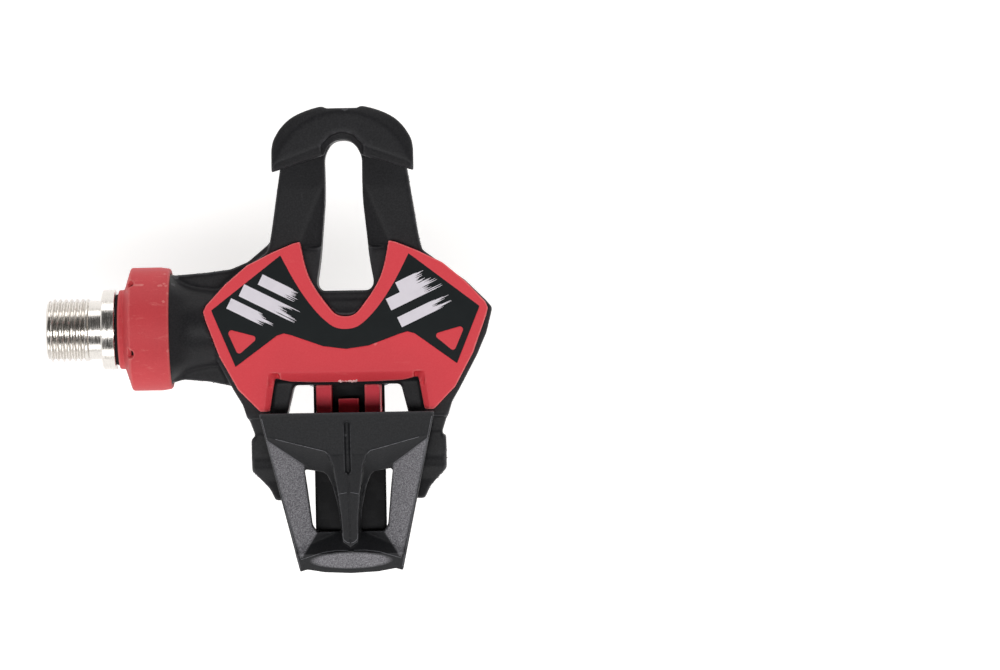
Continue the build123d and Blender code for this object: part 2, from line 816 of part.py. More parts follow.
def make_clamp_plate():
    top = blade_top - blade_thick
    plate = make_face(Rectangle(2 * clamp_half, clamp_front - clamp_rear))
    plate = fillet(plate.vertices(), clamp_corner)
    plate = plan(Pos(0, (clamp_front + clamp_rear) / 2, 0) * plate, top - clamp_thick, top)
    for side in (1, -1):
        at = Pos(side * clamp_screw_x, clamp_screw_y, 0)
        plate -= at * rod(clamp_screw_radius + screw_gap, -20, 0)
        plate -= at * Pos(0, 0, top - clamp_thick) * countersink(slack)
    return plate - Pos(0, clamp_screw_y, 0) * rod(cam_radius + slack, -20, 0)


def make_clamp_screws():
    low = blade_top - blade_thick - clamp_thick
    screw = rod(clamp_screw_radius, low, clamp_screw_top)
    screw += Pos(0, 0, low) * countersink()
    screw -= Pos(0, 0, low) * extrude(RegularPolygon(1.15, 6), 1.2)
    return Compound([Pos(side * clamp_screw_x, clamp_screw_y, 0) * screw for side in (1, -1)])


def make_tension_screw():
    low = blade_top - blade_thick - clamp_thick - cam_proud
    screw = Pos(0, clamp_screw_y, 0) * rod(cam_radius, low, blade_top - blade_thick - slack)
    slot = Pos(0, clamp_screw_y, low) * Box(cam_slot_width, 2 * cam_radius + 1, 2 * cam_slot_depth)
    return screw - slot


def main():
    os.makedirs("parts", exist_ok=True)
    pieces = {
        "spindle": make_spindle(),
        "spindle_seal": make_seal(),
        "lock_collar": make_collar(),
        "bearing_shim": make_shim(),
        "bearing_inner_ring": make_inner_ring(),
        "bearing_outer_ring": make_outer_ring(),
        "bearing_balls": make_balls(),
        "ball_cage": make_ball_cage(),
        "bearing_shields": make_shields(),
        "spindle_circlip": make_circlip(),
        "needle_shell": make_needle_shell(),
        "needle_rollers": make_rollers(),
        "needle_cage": make_needle_cage(),
        "body_shell": make_body(),
        "platform_cover": place(make_cover()),
        "platform_decal": place(make_decal()),
        "cover_screws": place(make_cover_screws()),
        "rear_jaw": place(make_jaw()),
        "jaw_bushes": place(make_bushes()),
        "pivot_pin": place(make_pin()),
        "carbon_blade_root": place(make_blade_root()),
        "carbon_blade_leaf": place(make_blade_leaf()),
        "blade_guide": place(make_blade_guide()),
        "clamp_plate": place(make_clamp_plate()),
        "clamp_screws": place(make_clamp_screws()),
        "tension_screw": place(make_tension_screw()),
    }
    for name, piece in pieces.items():
        export_step(piece, f"parts/{name}.step")
        print(name, round(piece.volume, 1))


main()
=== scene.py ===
import math
import bpy
import bmesh
from mathutils import Matrix, Vector


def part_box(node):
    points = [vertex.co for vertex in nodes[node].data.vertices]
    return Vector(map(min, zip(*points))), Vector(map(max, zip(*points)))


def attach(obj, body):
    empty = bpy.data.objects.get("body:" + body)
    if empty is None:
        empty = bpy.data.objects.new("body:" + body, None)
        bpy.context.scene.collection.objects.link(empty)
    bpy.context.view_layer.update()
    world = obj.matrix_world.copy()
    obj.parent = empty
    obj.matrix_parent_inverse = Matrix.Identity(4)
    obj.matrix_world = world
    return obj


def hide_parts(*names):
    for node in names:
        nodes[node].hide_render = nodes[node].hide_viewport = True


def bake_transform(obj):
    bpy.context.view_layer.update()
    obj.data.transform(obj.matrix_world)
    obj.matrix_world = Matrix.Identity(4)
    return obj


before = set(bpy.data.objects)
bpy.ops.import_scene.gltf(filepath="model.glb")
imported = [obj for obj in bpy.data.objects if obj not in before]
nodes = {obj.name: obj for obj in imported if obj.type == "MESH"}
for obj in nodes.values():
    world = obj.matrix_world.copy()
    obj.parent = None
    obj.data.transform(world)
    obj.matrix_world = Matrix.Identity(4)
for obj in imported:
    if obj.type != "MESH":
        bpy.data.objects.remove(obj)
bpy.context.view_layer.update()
mm = 0.001

coverLow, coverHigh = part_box("platform_cover")
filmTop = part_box("platform_decal")[1].z
centreX = (coverLow.x + coverHigh.x) / 2      # the pedal's own centreline
lowestZ = min(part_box(name)[0].z for name in nodes)
mergeWithin = 0.002                           # mm, CAD corners closer than this become one


def linkObject(name, mesh):
    piece = bpy.data.objects.new(name, mesh)
    bpy.context.scene.collection.objects.link(piece)
    return piece


def bakeModifiers(piece):
    # the evaluated shape becomes the plain mesh and the modifiers go
    graph = bpy.context.evaluated_depsgraph_get()
    shaped = bpy.data.meshes.new_from_object(piece.evaluated_get(graph))
    piece.modifiers.clear()
    piece.data = shaped
    return piece


def softCopy(nodeName, pieceName, voxel, passes):
    # a copy of a CAD node with its corners eased, as a moulding has them
    mesh = nodes[nodeName].data.copy()
    work = bmesh.new()
    work.from_mesh(mesh)
    bmesh.ops.remove_doubles(work, verts=work.verts, dist=mergeWithin * mm)
    work.to_mesh(mesh)
    work.free()
    mesh.materials.clear()
    piece = linkObject(pieceName, mesh)
    remesh = piece.modifiers.new("voxels", "REMESH")
    remesh.mode = "VOXEL"
    remesh.voxel_size = voxel * mm
    soften = piece.modifiers.new("soften", "SMOOTH")
    soften.factor = 0.5
    soften.iterations = passes
    bakeModifiers(piece)
    piece.data.shade_smooth()
    print("softened", nodeName, len(piece.data.vertices), "vertices")
    return piece


def nodeTool(name, inputs):
    # an empty Geometry Nodes tree with named inputs, one geometry in and one out
    tree = bpy.data.node_groups.new(name, "GeometryNodeTree")
    tree.is_modifier = True
    tree.interface.new_socket(name="Geometry", in_out="INPUT", socket_type="NodeSocketGeometry")
    for label, kind, value in inputs:
        socket = tree.interface.new_socket(name=label, in_out="INPUT", socket_type="NodeSocket" + kind)
        if value is not None:
            socket.default_value = value
    tree.interface.new_socket(name="Geometry", in_out="OUTPUT", socket_type="NodeSocketGeometry")
    return tree, tree.nodes.new("NodeGroupInput"), tree.nodes.new("NodeGroupOutput")


def wire(tree, *pairs):
    for source, target in pairs:
        tree.links.new(source, target)


def randomBetween(tree, low, high, seed):
    # low and high are numbers, or triples for three directions at once
    node = tree.nodes.new("FunctionNodeRandomValue")
    node.data_type = "FLOAT_VECTOR" if isinstance(low, tuple) else "FLOAT"
    first = 0 if isinstance(low, tuple) else 2
    for slot, value in ((first, low), (first + 1, high)):
        if isinstance(value, (int, float, tuple)):
            node.inputs[slot].default_value = value
        else:
            tree.links.new(value, node.inputs[slot])
    node.inputs["Seed"].default_value = seed
    return node.outputs["Value"] if isinstance(low, tuple) else node.outputs[1]


def growMesh(name, tree, values, mesh=None):
    # runs a tree on a mesh and gives the plain mesh that comes out
    base = linkObject(name, mesh or bpy.data.meshes.new(name))
    grow = base.modifiers.new("grow", "NODES")
    grow.node_group = tree
    for item in tree.interface.items_tree:
        if item.item_type == "SOCKET" and item.in_out == "INPUT" and item.name in values:
            grow[item.identifier] = values[item.name]
    graph = bpy.context.evaluated_depsgraph_get()
    grown = bpy.data.meshes.new_from_object(base.evaluated_get(graph))
    bpy.data.objects.remove(base)
    return grown


def joinMeshes(name, meshes):
    work = bmesh.new()
    for mesh in meshes:
        work.from_mesh(mesh)
    joined = bpy.data.meshes.new(name)
    work.to_mesh(joined)
    work.free()
    for mesh in meshes:
        for material in mesh.materials:
            if material and material.name not in [m.name for m in joined.materials]:
                joined.materials.append(material)
    return linkObject(name, joined)


def claim(piece, body, slot, *replaced):
    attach(piece, body)
    if replaced:
        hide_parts(*replaced)


def newGroup(name, inputs, outputs):
    group = bpy.data.node_groups.new(name, "ShaderNodeTree")
    for label, kind, value in inputs:
        socket = group.interface.new_socket(name=label, in_out="INPUT", socket_type="NodeSocket" + kind)
        if value is not None:
            socket.default_value = value
    for label, kind in outputs:
        group.interface.new_socket(name=label, in_out="OUTPUT", socket_type="NodeSocket" + kind)
    return group, group.nodes.new("NodeGroupInput"), group.nodes.new("NodeGroupOutput")


def addNode(tree, kind, **values):
    node = tree.nodes.new(kind)
    for key, value in values.items():
        if hasattr(node, key):
            setattr(node, key, value)
        else:
            node.inputs[key.replace("_", " ")].default_value = value
    return node


def maths(tree, operation, first, second=None, third=None, clamp=False):
    node = tree.nodes.new("ShaderNodeMath")
    node.operation = operation
    node.use_clamp = clamp
    for slot, value in enumerate((first, second, third)):
        if value is None:
            continue
        if isinstance(value, (int, float)):
            node.inputs[slot].default_value = value
        else:
            tree.links.new(value, node.inputs[slot])
    return node.outputs[0]


speckleContrast = 3.2
speckleLevel = 0.45
wearAndSheenBreakGain = 1.7
scuffGain = 7.0


def makeGrainGroup():
    group, inn, out = newGroup("mouldGrain", [
        ("Grain", "Float", 3000.0), ("Waviness", "Float", 160.0)],
        [("Height", "Float"), ("Speckle", "Float"), ("Patches", "Float")])
    coords = group.nodes.new("ShaderNodeTexCoord").outputs["Object"]
    fine = addNode(group, "ShaderNodeTexNoise", Detail=3.0, Roughness=0.6)
    broad = addNode(group, "ShaderNodeTexNoise", Detail=4.0, Roughness=0.55)
    pits = addNode(group, "ShaderNodeTexVoronoi")
    for node, name in ((fine, "Grain"), (broad, "Waviness"), (pits, "Grain")):
        group.links.new(coords, node.inputs["Vector"])
        group.links.new(inn.outputs[name], node.inputs["Scale"])
    both = maths(group, "MULTIPLY", fine.outputs[0], pits.outputs["Distance"])
    sharp = maths(group, "SUBTRACT", fine.outputs[0], 0.5)
    speckle = maths(group, "MULTIPLY_ADD", sharp, speckleContrast, speckleLevel, clamp=True)
    group.links.new(both, out.inputs["Height"])
    group.links.new(speckle, out.inputs["Speckle"])
    group.links.new(broad.outputs[0], out.inputs["Patches"])
    return group


def makeWearAndSheenGroup():
    # convex edges lightened in the colour: partly rubbed wear, partly a painted highlight standing in for
    # light caught on the rounded edges
    group, inn, out = newGroup("edgeWearAndSheen", [
        ("Reach", "Float", 18.0), ("Edge", "Float", 0.53),
        ("Breakup", "Float", 500.0)], [("Mask", "Float")])
    coords = group.nodes.new("ShaderNodeTexCoord").outputs["Object"]
    bend = group.nodes.new("ShaderNodeNewGeometry").outputs["Pointiness"]
    patchy = addNode(group, "ShaderNodeTexNoise", Detail=4.0, Roughness=0.7)
    group.links.new(coords, patchy.inputs["Vector"])
    group.links.new(inn.outputs["Breakup"], patchy.inputs["Scale"])
    past = maths(group, "SUBTRACT", bend, inn.outputs["Edge"])
    strong = maths(group, "MULTIPLY", past, inn.outputs["Reach"], clamp=True)
    uneven = maths(group, "MULTIPLY", patchy.outputs[0], wearAndSheenBreakGain)
    broken = maths(group, "MULTIPLY", strong, uneven, clamp=True)
    group.links.new(broken, out.inputs["Mask"])
    return group


def makeScuffGroup():
    group, inn, out = newGroup("scuffs", [
        ("Size", "Float", 220.0), ("Stretch", "Vector", (1.0, 6.0, 1.0)),
        ("Amount", "Float", 0.6)], [("Mask", "Float")])
    coords = group.nodes.new("ShaderNodeTexCoord").outputs["Object"]
    stretch = group.nodes.new("ShaderNodeMapping")
    group.links.new(coords, stretch.inputs["Vector"])
    group.links.new(inn.outputs["Stretch"], stretch.inputs["Scale"])
    streaks = addNode(group, "ShaderNodeTexNoise", Detail=6.0, Roughness=0.75)
    group.links.new(stretch.outputs[0], streaks.inputs["Vector"])
    group.links.new(inn.outputs["Size"], streaks.inputs["Scale"])
    past = maths(group, "SUBTRACT", streaks.outputs[0], inn.outputs["Amount"])
    group.links.new(maths(group, "MULTIPLY", past, scuffGain, clamp=True), out.inputs["Mask"])
    return group


def makeWeaveGroup():
    # twill: each tow passes over two and under two, one step along in every row
    group, inn, out = newGroup("twillWeave", [("Tow", "Float", 480.0)],
                               [("Lengthways", "Float"), ("Height", "Float")])
    coords = group.nodes.new("ShaderNodeTexCoord").outputs["Object"]
    split = group.nodes.new("ShaderNodeSeparateXYZ")
    group.links.new(coords, split.inputs[0])
    across = maths(group, "MULTIPLY", split.outputs["X"], inn.outputs["Tow"])
    along = maths(group, "MULTIPLY", split.outputs["Y"], inn.outputs["Tow"])
    step = maths(group, "ADD", maths(group, "FLOOR", across), maths(group, "FLOOR", along))
    turn = maths(group, "FLOORED_MODULO", step, 4.0)
    lengthways = maths(group, "LESS_THAN", turn, 1.5)
    group.links.new(lengthways, out.inputs["Lengthways"])
    rounds = []
    for way in (across, along):
        part = maths(group, "SUBTRACT", maths(group, "FRACT", way), 0.5)
        rounds.append(maths(group, "SUBTRACT", 0.25, maths(group, "MULTIPLY", part, part)))
    first = maths(group, "MULTIPLY", lengthways, rounds[0])
    second = maths(group, "MULTIPLY", maths(group, "SUBTRACT", 1.0, lengthways), rounds[1])
    group.links.new(maths(group, "ADD", first, second), out.inputs["Height"])
    return group


grainGroup = makeGrainGroup()
wearAndSheenGroup = makeWearAndSheenGroup()
scuffGroup = makeScuffGroup()
weaveGroup = makeWeaveGroup()


def useGroup(tree, group, **values):
    node = tree.nodes.new("ShaderNodeGroup")
    node.node_tree = group
    for key, value in values.items():
        node.inputs[key].default_value = value
    return node


def mixColour(tree, mask, first, second):
    node = tree.nodes.new("ShaderNodeMix")
    node.data_type = "RGBA"
    if mask is not None:
        tree.links.new(mask, node.inputs[0])
    for slot, value in ((6, first), (7, second)):
        if isinstance(value, (tuple, list)):
            node.inputs[slot].default_value = (*value[:3], 1.0)
        else:
            tree.links.new(value, node.inputs[slot])
    return node.outputs[2]


def newMaterial(name):
    material = bpy.data.materials.new(name)
    material.use_nodes = True
    tree = material.node_tree
    return material, tree, tree.nodes["Principled BSDF"]


def grainFor(tree, look):
    return useGroup(tree, grainGroup, Grain=look["grain"], Waviness=look["patches"])


def scuffFor(tree, look):
    return useGroup(tree, scuffGroup, Size=look["scuffSize"], Stretch=look["scuffStretch"],
                    Amount=look["scuffAmount"]).outputs["Mask"]


def tint(tree, colour, mask, look, layer):
    # lays the named layer's colour over another, as strongly as its mask and its share say
    return mixColour(tree, maths(tree, "MULTIPLY", mask, look[layer]), colour, look[layer + "Colour"])


def addBump(tree, shader, height, look):
    bump = tree.nodes.new("ShaderNodeBump")
    bump.inputs["Strength"].default_value = look["bump"]
    bump.inputs["Distance"].default_value = look["bumpDepth"] * mm
    tree.links.new(height, bump.inputs["Height"])
    tree.links.new(bump.outputs[0], shader.inputs["Normal"])
    return bump


def mouldedPlastic(name, look):
    # satin or matte moulding: patchy colour, speckle, lighter edges (partly rubbed wear, partly a painted
    # highlight), scuffs and a fine grain
    material, tree, shader = newMaterial(name)
    grain = grainFor(tree, look)
    wearAndSheen = useGroup(tree, wearAndSheenGroup, Reach=look["wearAndSheenReach"], Edge=look["wearAndSheenEdge"],
                    Breakup=look["wearAndSheenBreakup"])
    scuff = scuffFor(tree, look)
    colour = mixColour(tree, grain.outputs["Patches"], look["dark"], look["light"])
    colour = tint(tree, colour, grain.outputs["Speckle"], look, "speckle")
    colour = tint(tree, colour, scuff, look, "scuff")
    # the edge layer lays on wear and a painted edge highlight together
    colour = tint(tree, colour, wearAndSheen.outputs["Mask"], look, "wearAndSheen")
    tree.links.new(colour, shader.inputs["Base Color"])
    rough = maths(tree, "MULTIPLY_ADD", grain.outputs["Patches"], look["roughSpread"],
                  look["rough"] - look["roughSpread"] / 2)
    rough = maths(tree, "ADD", rough, maths(tree, "MULTIPLY", scuff, look["scuffRough"]), clamp=True)
    tree.links.new(rough, shader.inputs["Roughness"])
    addBump(tree, shader, grain.outputs["Height"], look)
    shader.inputs["Specular IOR Level"].default_value = look["specular"]
    return material


def facetedPlastic(name, smooth, rough, attribute):
    # the jaw: smooth moulding with coarse sparkling facets where the attribute says
    material = mouldedPlastic(name, smooth)
    tree = material.node_tree
    shader = tree.nodes["Principled BSDF"]
    mask = addNode(tree, "ShaderNodeAttribute", attribute_name=attribute).outputs["Fac"]
    grain = grainFor(tree, rough)
    facet = mixColour(tree, grain.outputs["Patches"], rough["dark"], rough["light"])
    facet = tint(tree, facet, grain.outputs["Speckle"], rough, "speckle")
    plainColour = shader.inputs["Base Color"].links[0].from_socket
    tree.links.new(mixColour(tree, mask, plainColour, facet), shader.inputs["Base Color"])
    plainRough = shader.inputs["Roughness"].links[0].from_socket
    extra = maths(tree, "MULTIPLY", mask, rough["rough"] - smooth["rough"])
    tree.links.new(maths(tree, "ADD", plainRough, extra, clamp=True), shader.inputs["Roughness"])
    fine = shader.inputs["Normal"].links[0].from_node
    coarse = addBump(tree, shader, maths(tree, "MULTIPLY", grain.outputs["Height"], mask), rough)
    tree.links.new(fine.outputs[0], coarse.inputs["Normal"])
    return material


def wovenCarbon(name, look):
    # crossing tows of fibre under a thin coat of resin
    material, tree, shader = newMaterial(name)
    weave = useGroup(tree, weaveGroup, Tow=look["towsPerMetre"])
    colour = mixColour(tree, weave.outputs["Lengthways"], look["dark"], look["light"])
    colour = tint(tree, colour, grainFor(tree, look).outputs["Speckle"], look, "speckle")
    colour = tint(tree, colour, scuffFor(tree, look), look, "scuff")
    tree.links.new(colour, shader.inputs["Base Color"])
    rough = maths(tree, "MULTIPLY_ADD", weave.outputs["Lengthways"], look["roughStep"], look["rough"])
    tree.links.new(rough, shader.inputs["Roughness"])
    addBump(tree, shader, weave.outputs["Height"], look)
    shader.inputs["Specular IOR Level"].default_value = look["specular"]
    shader.inputs["Coat Weight"].default_value = look["coat"]
    shader.inputs["Coat Roughness"].default_value = look["coatRough"]
    return material


def turnedMetal(name, look):
    # ground or turned metal: fine rings along the spindle's axis and a little staining
    material, tree, shader = newMaterial(name)
    shader.inputs["Metallic"].default_value = 1.0
    rings = scuffFor(tree, look)
    colour = mixColour(tree, grainFor(tree, look).outputs["Patches"], look["dark"], look["light"])
    tree.links.new(colour, shader.inputs["Base Color"])
    rough = maths(tree, "MULTIPLY_ADD", rings, look["roughSpread"], look["rough"])
    tree.links.new(rough, shader.inputs["Roughness"])
    addBump(tree, shader, rings, look)
    return material


def glossFilm(name, look):
    material, tree, shader = newMaterial(name)
    scuff = scuffFor(tree, look)
    colour = mixColour(tree, grainFor(tree, look).outputs["Patches"], look["dark"], look["light"])
    colour = tint(tree, colour, scuff, look, "scuff")
    tree.links.new(colour, shader.inputs["Base Color"])
    rough = maths(tree, "MULTIPLY_ADD", scuff, look["roughSpread"], look["rough"])
    tree.links.new(rough, shader.inputs["Roughness"])
    shader.inputs["Specular IOR Level"].default_value = look["specular"]
    return material


blackLook = {
    "dark": (0.006, 0.006, 0.007), "light": (0.015, 0.015, 0.017),       # patchy base colour
    "grain": 2600.0, "patches": 140.0,                                   # waves per metre
    "speckle": 0.35, "speckleColour": (0.032, 0.032, 0.035),
    "rough": 0.44, "roughSpread": 0.2, "specular": 0.16,
    # lighter convex edges: wear together with a painted edge highlight
    "wearAndSheen": 0.6, "wearAndSheenColour": (0.10, 0.10, 0.108),
    "wearAndSheenReach": 26.0, "wearAndSheenEdge": 0.52, "wearAndSheenBreakup": 420.0,
    "scuff": 0.30, "scuffColour": (0.07, 0.07, 0.075),
    "scuffSize": 120.0, "scuffStretch": (5.0, 1.0, 1.0),
    "scuffAmount": 0.62, "scuffRough": 0.15, "bump": 0.35, "bumpDepth": 0.06}
jawSmoothLook = dict(blackLook, dark=(0.007, 0.007, 0.008), light=(0.016, 0.017, 0.019), rough=0.44,
                     wearAndSheen=0.42, wearAndSheenColour=(0.13, 0.13, 0.14), wearAndSheenReach=30.0, wearAndSheenEdge=0.52)
jawGrainLook = dict(blackLook, dark=(0.060, 0.058, 0.065), light=(0.115, 0.112, 0.124), grain=3300.0,
                    patches=260.0, speckle=0.9, speckleColour=(0.30, 0.295, 0.315), rough=0.6, bump=0.9,
                    bumpDepth=0.12)
coverLook = {
    "dark": (0.62, 0.036, 0.050), "light": (0.75, 0.052, 0.070),
    "grain": 3200.0, "patches": 90.0,
    "speckle": 0.12, "speckleColour": (0.82, 0.12, 0.13),
    "rough": 0.46, "roughSpread": 0.16, "specular": 0.22,
    # the cover's lighter rims are wear together with a painted edge highlight
    "wearAndSheen": 0.7, "wearAndSheenColour": (0.86, 0.24, 0.24),
    "wearAndSheenReach": 26.0, "wearAndSheenEdge": 0.512, "wearAndSheenBreakup": 350.0,
    "scuff": 0.22, "scuffColour": (0.80, 0.16, 0.16),
    "scuffSize": 130.0, "scuffStretch": (1.0, 4.0, 1.0),
    "scuffAmount": 0.6, "scuffRough": 0.12, "bump": 0.25, "bumpDepth": 0.05}
collarLook = dict(coverLook, dark=(0.46, 0.042, 0.050), light=(0.60, 0.058, 0.068), rough=0.55,
                  scuff=0.5, scuffColour=(0.66, 0.17, 0.16), scuffAmount=0.56, scuffSize=260.0,
                  scuffStretch=(1.0, 3.0, 3.0), wearAndSheen=0.6, wearAndSheenColour=(0.68, 0.24, 0.22))
# the guide is the cover's red plastic painted brighter, as a lit copy, to make up for the shade it lies in
# under the cover
guideLitLook = dict(coverLook, dark=(0.70, 0.024, 0.050), light=(0.86, 0.036, 0.066))
rubberLook = dict(blackLook, dark=(0.004, 0.004, 0.004), light=(0.008, 0.008, 0.008),
                  rough=0.75, wearAndSheen=0.0, specular=0.2)
flashLook = dict(coverLook, dark=(0.80, 0.42, 0.42), light=(0.92, 0.70, 0.68), wearAndSheen=0.0)
carbonLook = {
    "towsPerMetre": 480.0, "dark": (0.004, 0.004, 0.005), "light": (0.011, 0.011, 0.012),
    "grain": 5200.0, "patches": 160.0, "speckle": 0.3, "speckleColour": (0.024, 0.024, 0.027),
    "scuff": 0.15, "scuffColour": (0.03, 0.03, 0.03),
    "scuffSize": 90.0, "scuffStretch": (1.0, 5.0, 1.0),
    "scuffAmount": 0.64, "rough": 0.42, "roughStep": 0.12, "bump": 0.5, "bumpDepth": 0.08,
    "specular": 0.08, "coat": 0.03, "coatRough": 0.3}
steelLook = {
    "dark": (0.60, 0.57, 0.54), "light": (0.78, 0.75, 0.71), "grain": 1800.0, "patches": 220.0,
    "scuffSize": 400.0, "scuffStretch": (16.0, 1.0, 1.0), "scuffAmount": 0.45,       # the turned rings
    "rough": 0.16, "roughSpread": 0.16, "bump": 0.25, "bumpDepth": 0.01}
darkSteelLook = dict(steelLook, dark=(0.16, 0.16, 0.17), light=(0.28, 0.28, 0.29), rough=0.3)
brassLook = dict(steelLook, dark=(0.50, 0.36, 0.14), light=(0.68, 0.52, 0.24), rough=0.25)
filmLook = {
    "dark": (0.004, 0.006, 0.007), "light": (0.008, 0.011, 0.012), "grain": 2600.0, "patches": 300.0,
    "scuff": 0.25, "scuffColour": (0.025, 0.028, 0.03),
    "scuffSize": 500.0, "scuffStretch": (3.0, 1.0, 1.0), "scuffAmount": 0.62,
    "rough": 0.3, "roughSpread": 0.25, "specular": 0.1}
printLook = dict(filmLook, dark=(0.66, 0.62, 0.68), light=(0.78, 0.74, 0.80),
                 scuffColour=(0.5, 0.46, 0.5), rough=0.4, specular=0.3)

blackComposite = mouldedPlastic("blackComposite", blackLook)
jawPlastic = facetedPlastic("jawPlastic", jawSmoothLook, jawGrainLook, "facetGrain")
coverRed = mouldedPlastic("coverRed", coverLook)
collarRed = mouldedPlastic("collarRed", collarLook)
guideLitRed = mouldedPlastic("guideLitRed", guideLitLook)
sealRubber = mouldedPlastic("sealRubber", rubberLook)
paleFlash = mouldedPlastic("paleFlash", flashLook)
carbonTwill = wovenCarbon("carbonTwill", carbonLook)
polishedSteel = turnedMetal("polishedSteel", steelLook)
darkSteel = turnedMetal("darkSteel", darkSteelLook)
bearingBrass = turnedMetal("bearingBrass", brassLook)
filmBlack = glossFilm("filmBlack", filmLook)
filmWhite = glossFilm("filmWhite", printLook)
print("materials ready")


softPieces = {
    # the voxel size is in mm, and the passes ease the corners
    "bodyMoulding": {"node": "body_shell", "body": "pedal_body", "slot": "black_composite",
                     "voxel": 0.42, "passes": 5, "material": blackComposite},
    "coverMoulding": {"node": "platform_cover", "body": "pedal_body", "slot": "red_plastic",
                      "voxel": 0.25, "passes": 3, "material": coverRed},
    "jawMoulding": {"node": "rear_jaw", "body": "jaw", "slot": "jaw_plastic",
                    "voxel": 0.25, "passes": 2, "material": jawPlastic},
    "collarMoulding": {"node": "lock_collar", "body": "pedal_body", "slot": "red_collar",
                       "voxel": 0.22, "passes": 2, "material": collarRed},
    "guideMoulding": {"node": "blade_guide", "body": "pedal_body", "slot": "red_plastic",
                      "voxel": 0.20, "passes": 3, "material": guideLitRed},
}


def makeSoftPieces():
    made = {}
    for name, plan in softPieces.items():
        piece = softCopy(plan["node"], name, plan["voxel"], plan["passes"])
        piece.data.materials.append(plan["material"])
        claim(piece, plan["body"], plan["slot"], plan["node"])
        made[name] = piece
    return made


moulded = makeSoftPieces()


spindlePlan = {
    "threadEnd": -12.4, "threadStart": -3.2, "major": 7.144, "depth": 0.70, "pitch": 1.27,   # mm
    "relief": 6.65, "flange": 9.0, "flangeWidth": 3.0, "edge": 0.3, "backEdge": 0.1,
    "crest": 0.14, "flank": 0.68, "fadeIn": 0.7, "fadeOut": 0.5, "fadeLeft": 0.25,
    "endChamfer": 0.8, "mouthDepth": 0.45, "sharpFrom": 32,
    "hexFlats": 8.0, "hexDepth": 6.0, "sides": 144, "rowsPerTurn": 12,
    "inner": [(3.0, 6.2), (7.3, 6.2), (7.3, 5.0), (12.3, 5.0), (12.3, 4.7), (13.1, 4.7), (13.1, 5.0),
              (14.5, 5.0), (17.3, 4.4), (55.0, 4.4), (56.8, 3.5), (68.4, 3.5), (69.0, 2.9)],
}


def threadRadius(plan, x, angle):
    # flat crests and narrower flat roots, fading in over the first turn and out over the last
    phase = (x / plan["pitch"] + angle / (2 * math.pi)) % 1.0
    tooth = min(1.0, max(0.0, (abs(phase - 0.5) * 2 - plan["crest"]) / plan["flank"]))
    fade = min(1.0, (plan["threadStart"] - x) / (plan["fadeIn"] * plan["pitch"]),
               (x - plan["threadEnd"]) / plan["fadeOut"] + plan["fadeLeft"])
    lead = max(0.0, plan["threadEnd"] + plan["endChamfer"] - x)
    return min(plan["major"] - plan["depth"] * tooth * max(0.0, fade), plan["major"] - lead)


def hexRadius(plan, angle):
    turn = (angle % (math.pi / 3)) - math.pi / 6
    return plan["hexFlats"] / 2 / math.cos(turn)


def makeSpindle(plan):
    # rings of points down the socket, round the mouth, along the thread and out to the far end
    count = plan["sides"]
    angles = [2 * math.pi * i / count for i in range(count)]
    end, start, edge = plan["threadEnd"], plan["threadStart"], plan["edge"]
    mouth = plan["hexFlats"] / 2 / math.cos(math.pi / 6) + edge
    rings = [[(end + plan["hexDepth"], hexRadius(plan, a)) for a in angles],
             [(end + plan["mouthDepth"], hexRadius(plan, a)) for a in angles],
             [(end, mouth) for a in angles]]
    steps = round((start - end) / plan["pitch"] * plan["rowsPerTurn"])
    for step in range(steps + 1):
        x = end + (start - end) * step / steps
        rings.append([(x, threadRadius(plan, x, a)) for a in angles])
    flange = [(start + edge, plan["relief"]), (0.0, plan["relief"]), (0.0, plan["flange"] - edge),
              (edge, plan["flange"]), (plan["flangeWidth"] - plan["backEdge"], plan["flange"]),
              (plan["flangeWidth"], plan["flange"] - plan["backEdge"])]
    for x, radius in flange + plan["inner"]:
        rings.append([(x, radius)] * count)
    points, faces = [], []
    for ring in rings:
        for a, (x, radius) in zip(angles, ring):
            points.append((x * mm, radius * math.cos(a) * mm, radius * math.sin(a) * mm))
    for r in range(len(rings) - 1):
        for i in range(count):
            j = (i + 1) % count
            faces.append((r * count + i, r * count + j, (r + 1) * count + j, (r + 1) * count + i))
    faces.append(tuple(reversed(range(count))))
    faces.append(tuple(range((len(rings) - 1) * count, len(rings) * count)))
    mesh = bpy.data.meshes.new("threadedSpindle")
    mesh.from_pydata(points, [], faces)
    work = bmesh.new()
    work.from_mesh(mesh)
    bmesh.ops.recalc_face_normals(work, faces=work.faces)
    work.to_mesh(mesh)
    work.free()
    mesh.materials.append(polishedSteel)
    mesh.shade_smooth()
    mesh.set_sharp_from_angle(angle=math.radians(plan["sharpFrom"]))
    piece = linkObject("threadedSpindle", mesh)
    claim(piece, "spindle_unit", "polished_steel", "spindle")
    print("spindle made,", len(mesh.polygons), "faces")


makeSpindle(spindlePlan)


leafPlan = {
    "half": 8.05, "front": -7.5, "rear": -50.0, "top": -7.0, "thick": 1.2, "corner": 1.0,    # mm
    "columns": 24, "rows": 60, "edgeRound": 0.18, "sharpFrom": 50,
    "bendStart": -13.7, "bendEnd": -24.0,
}


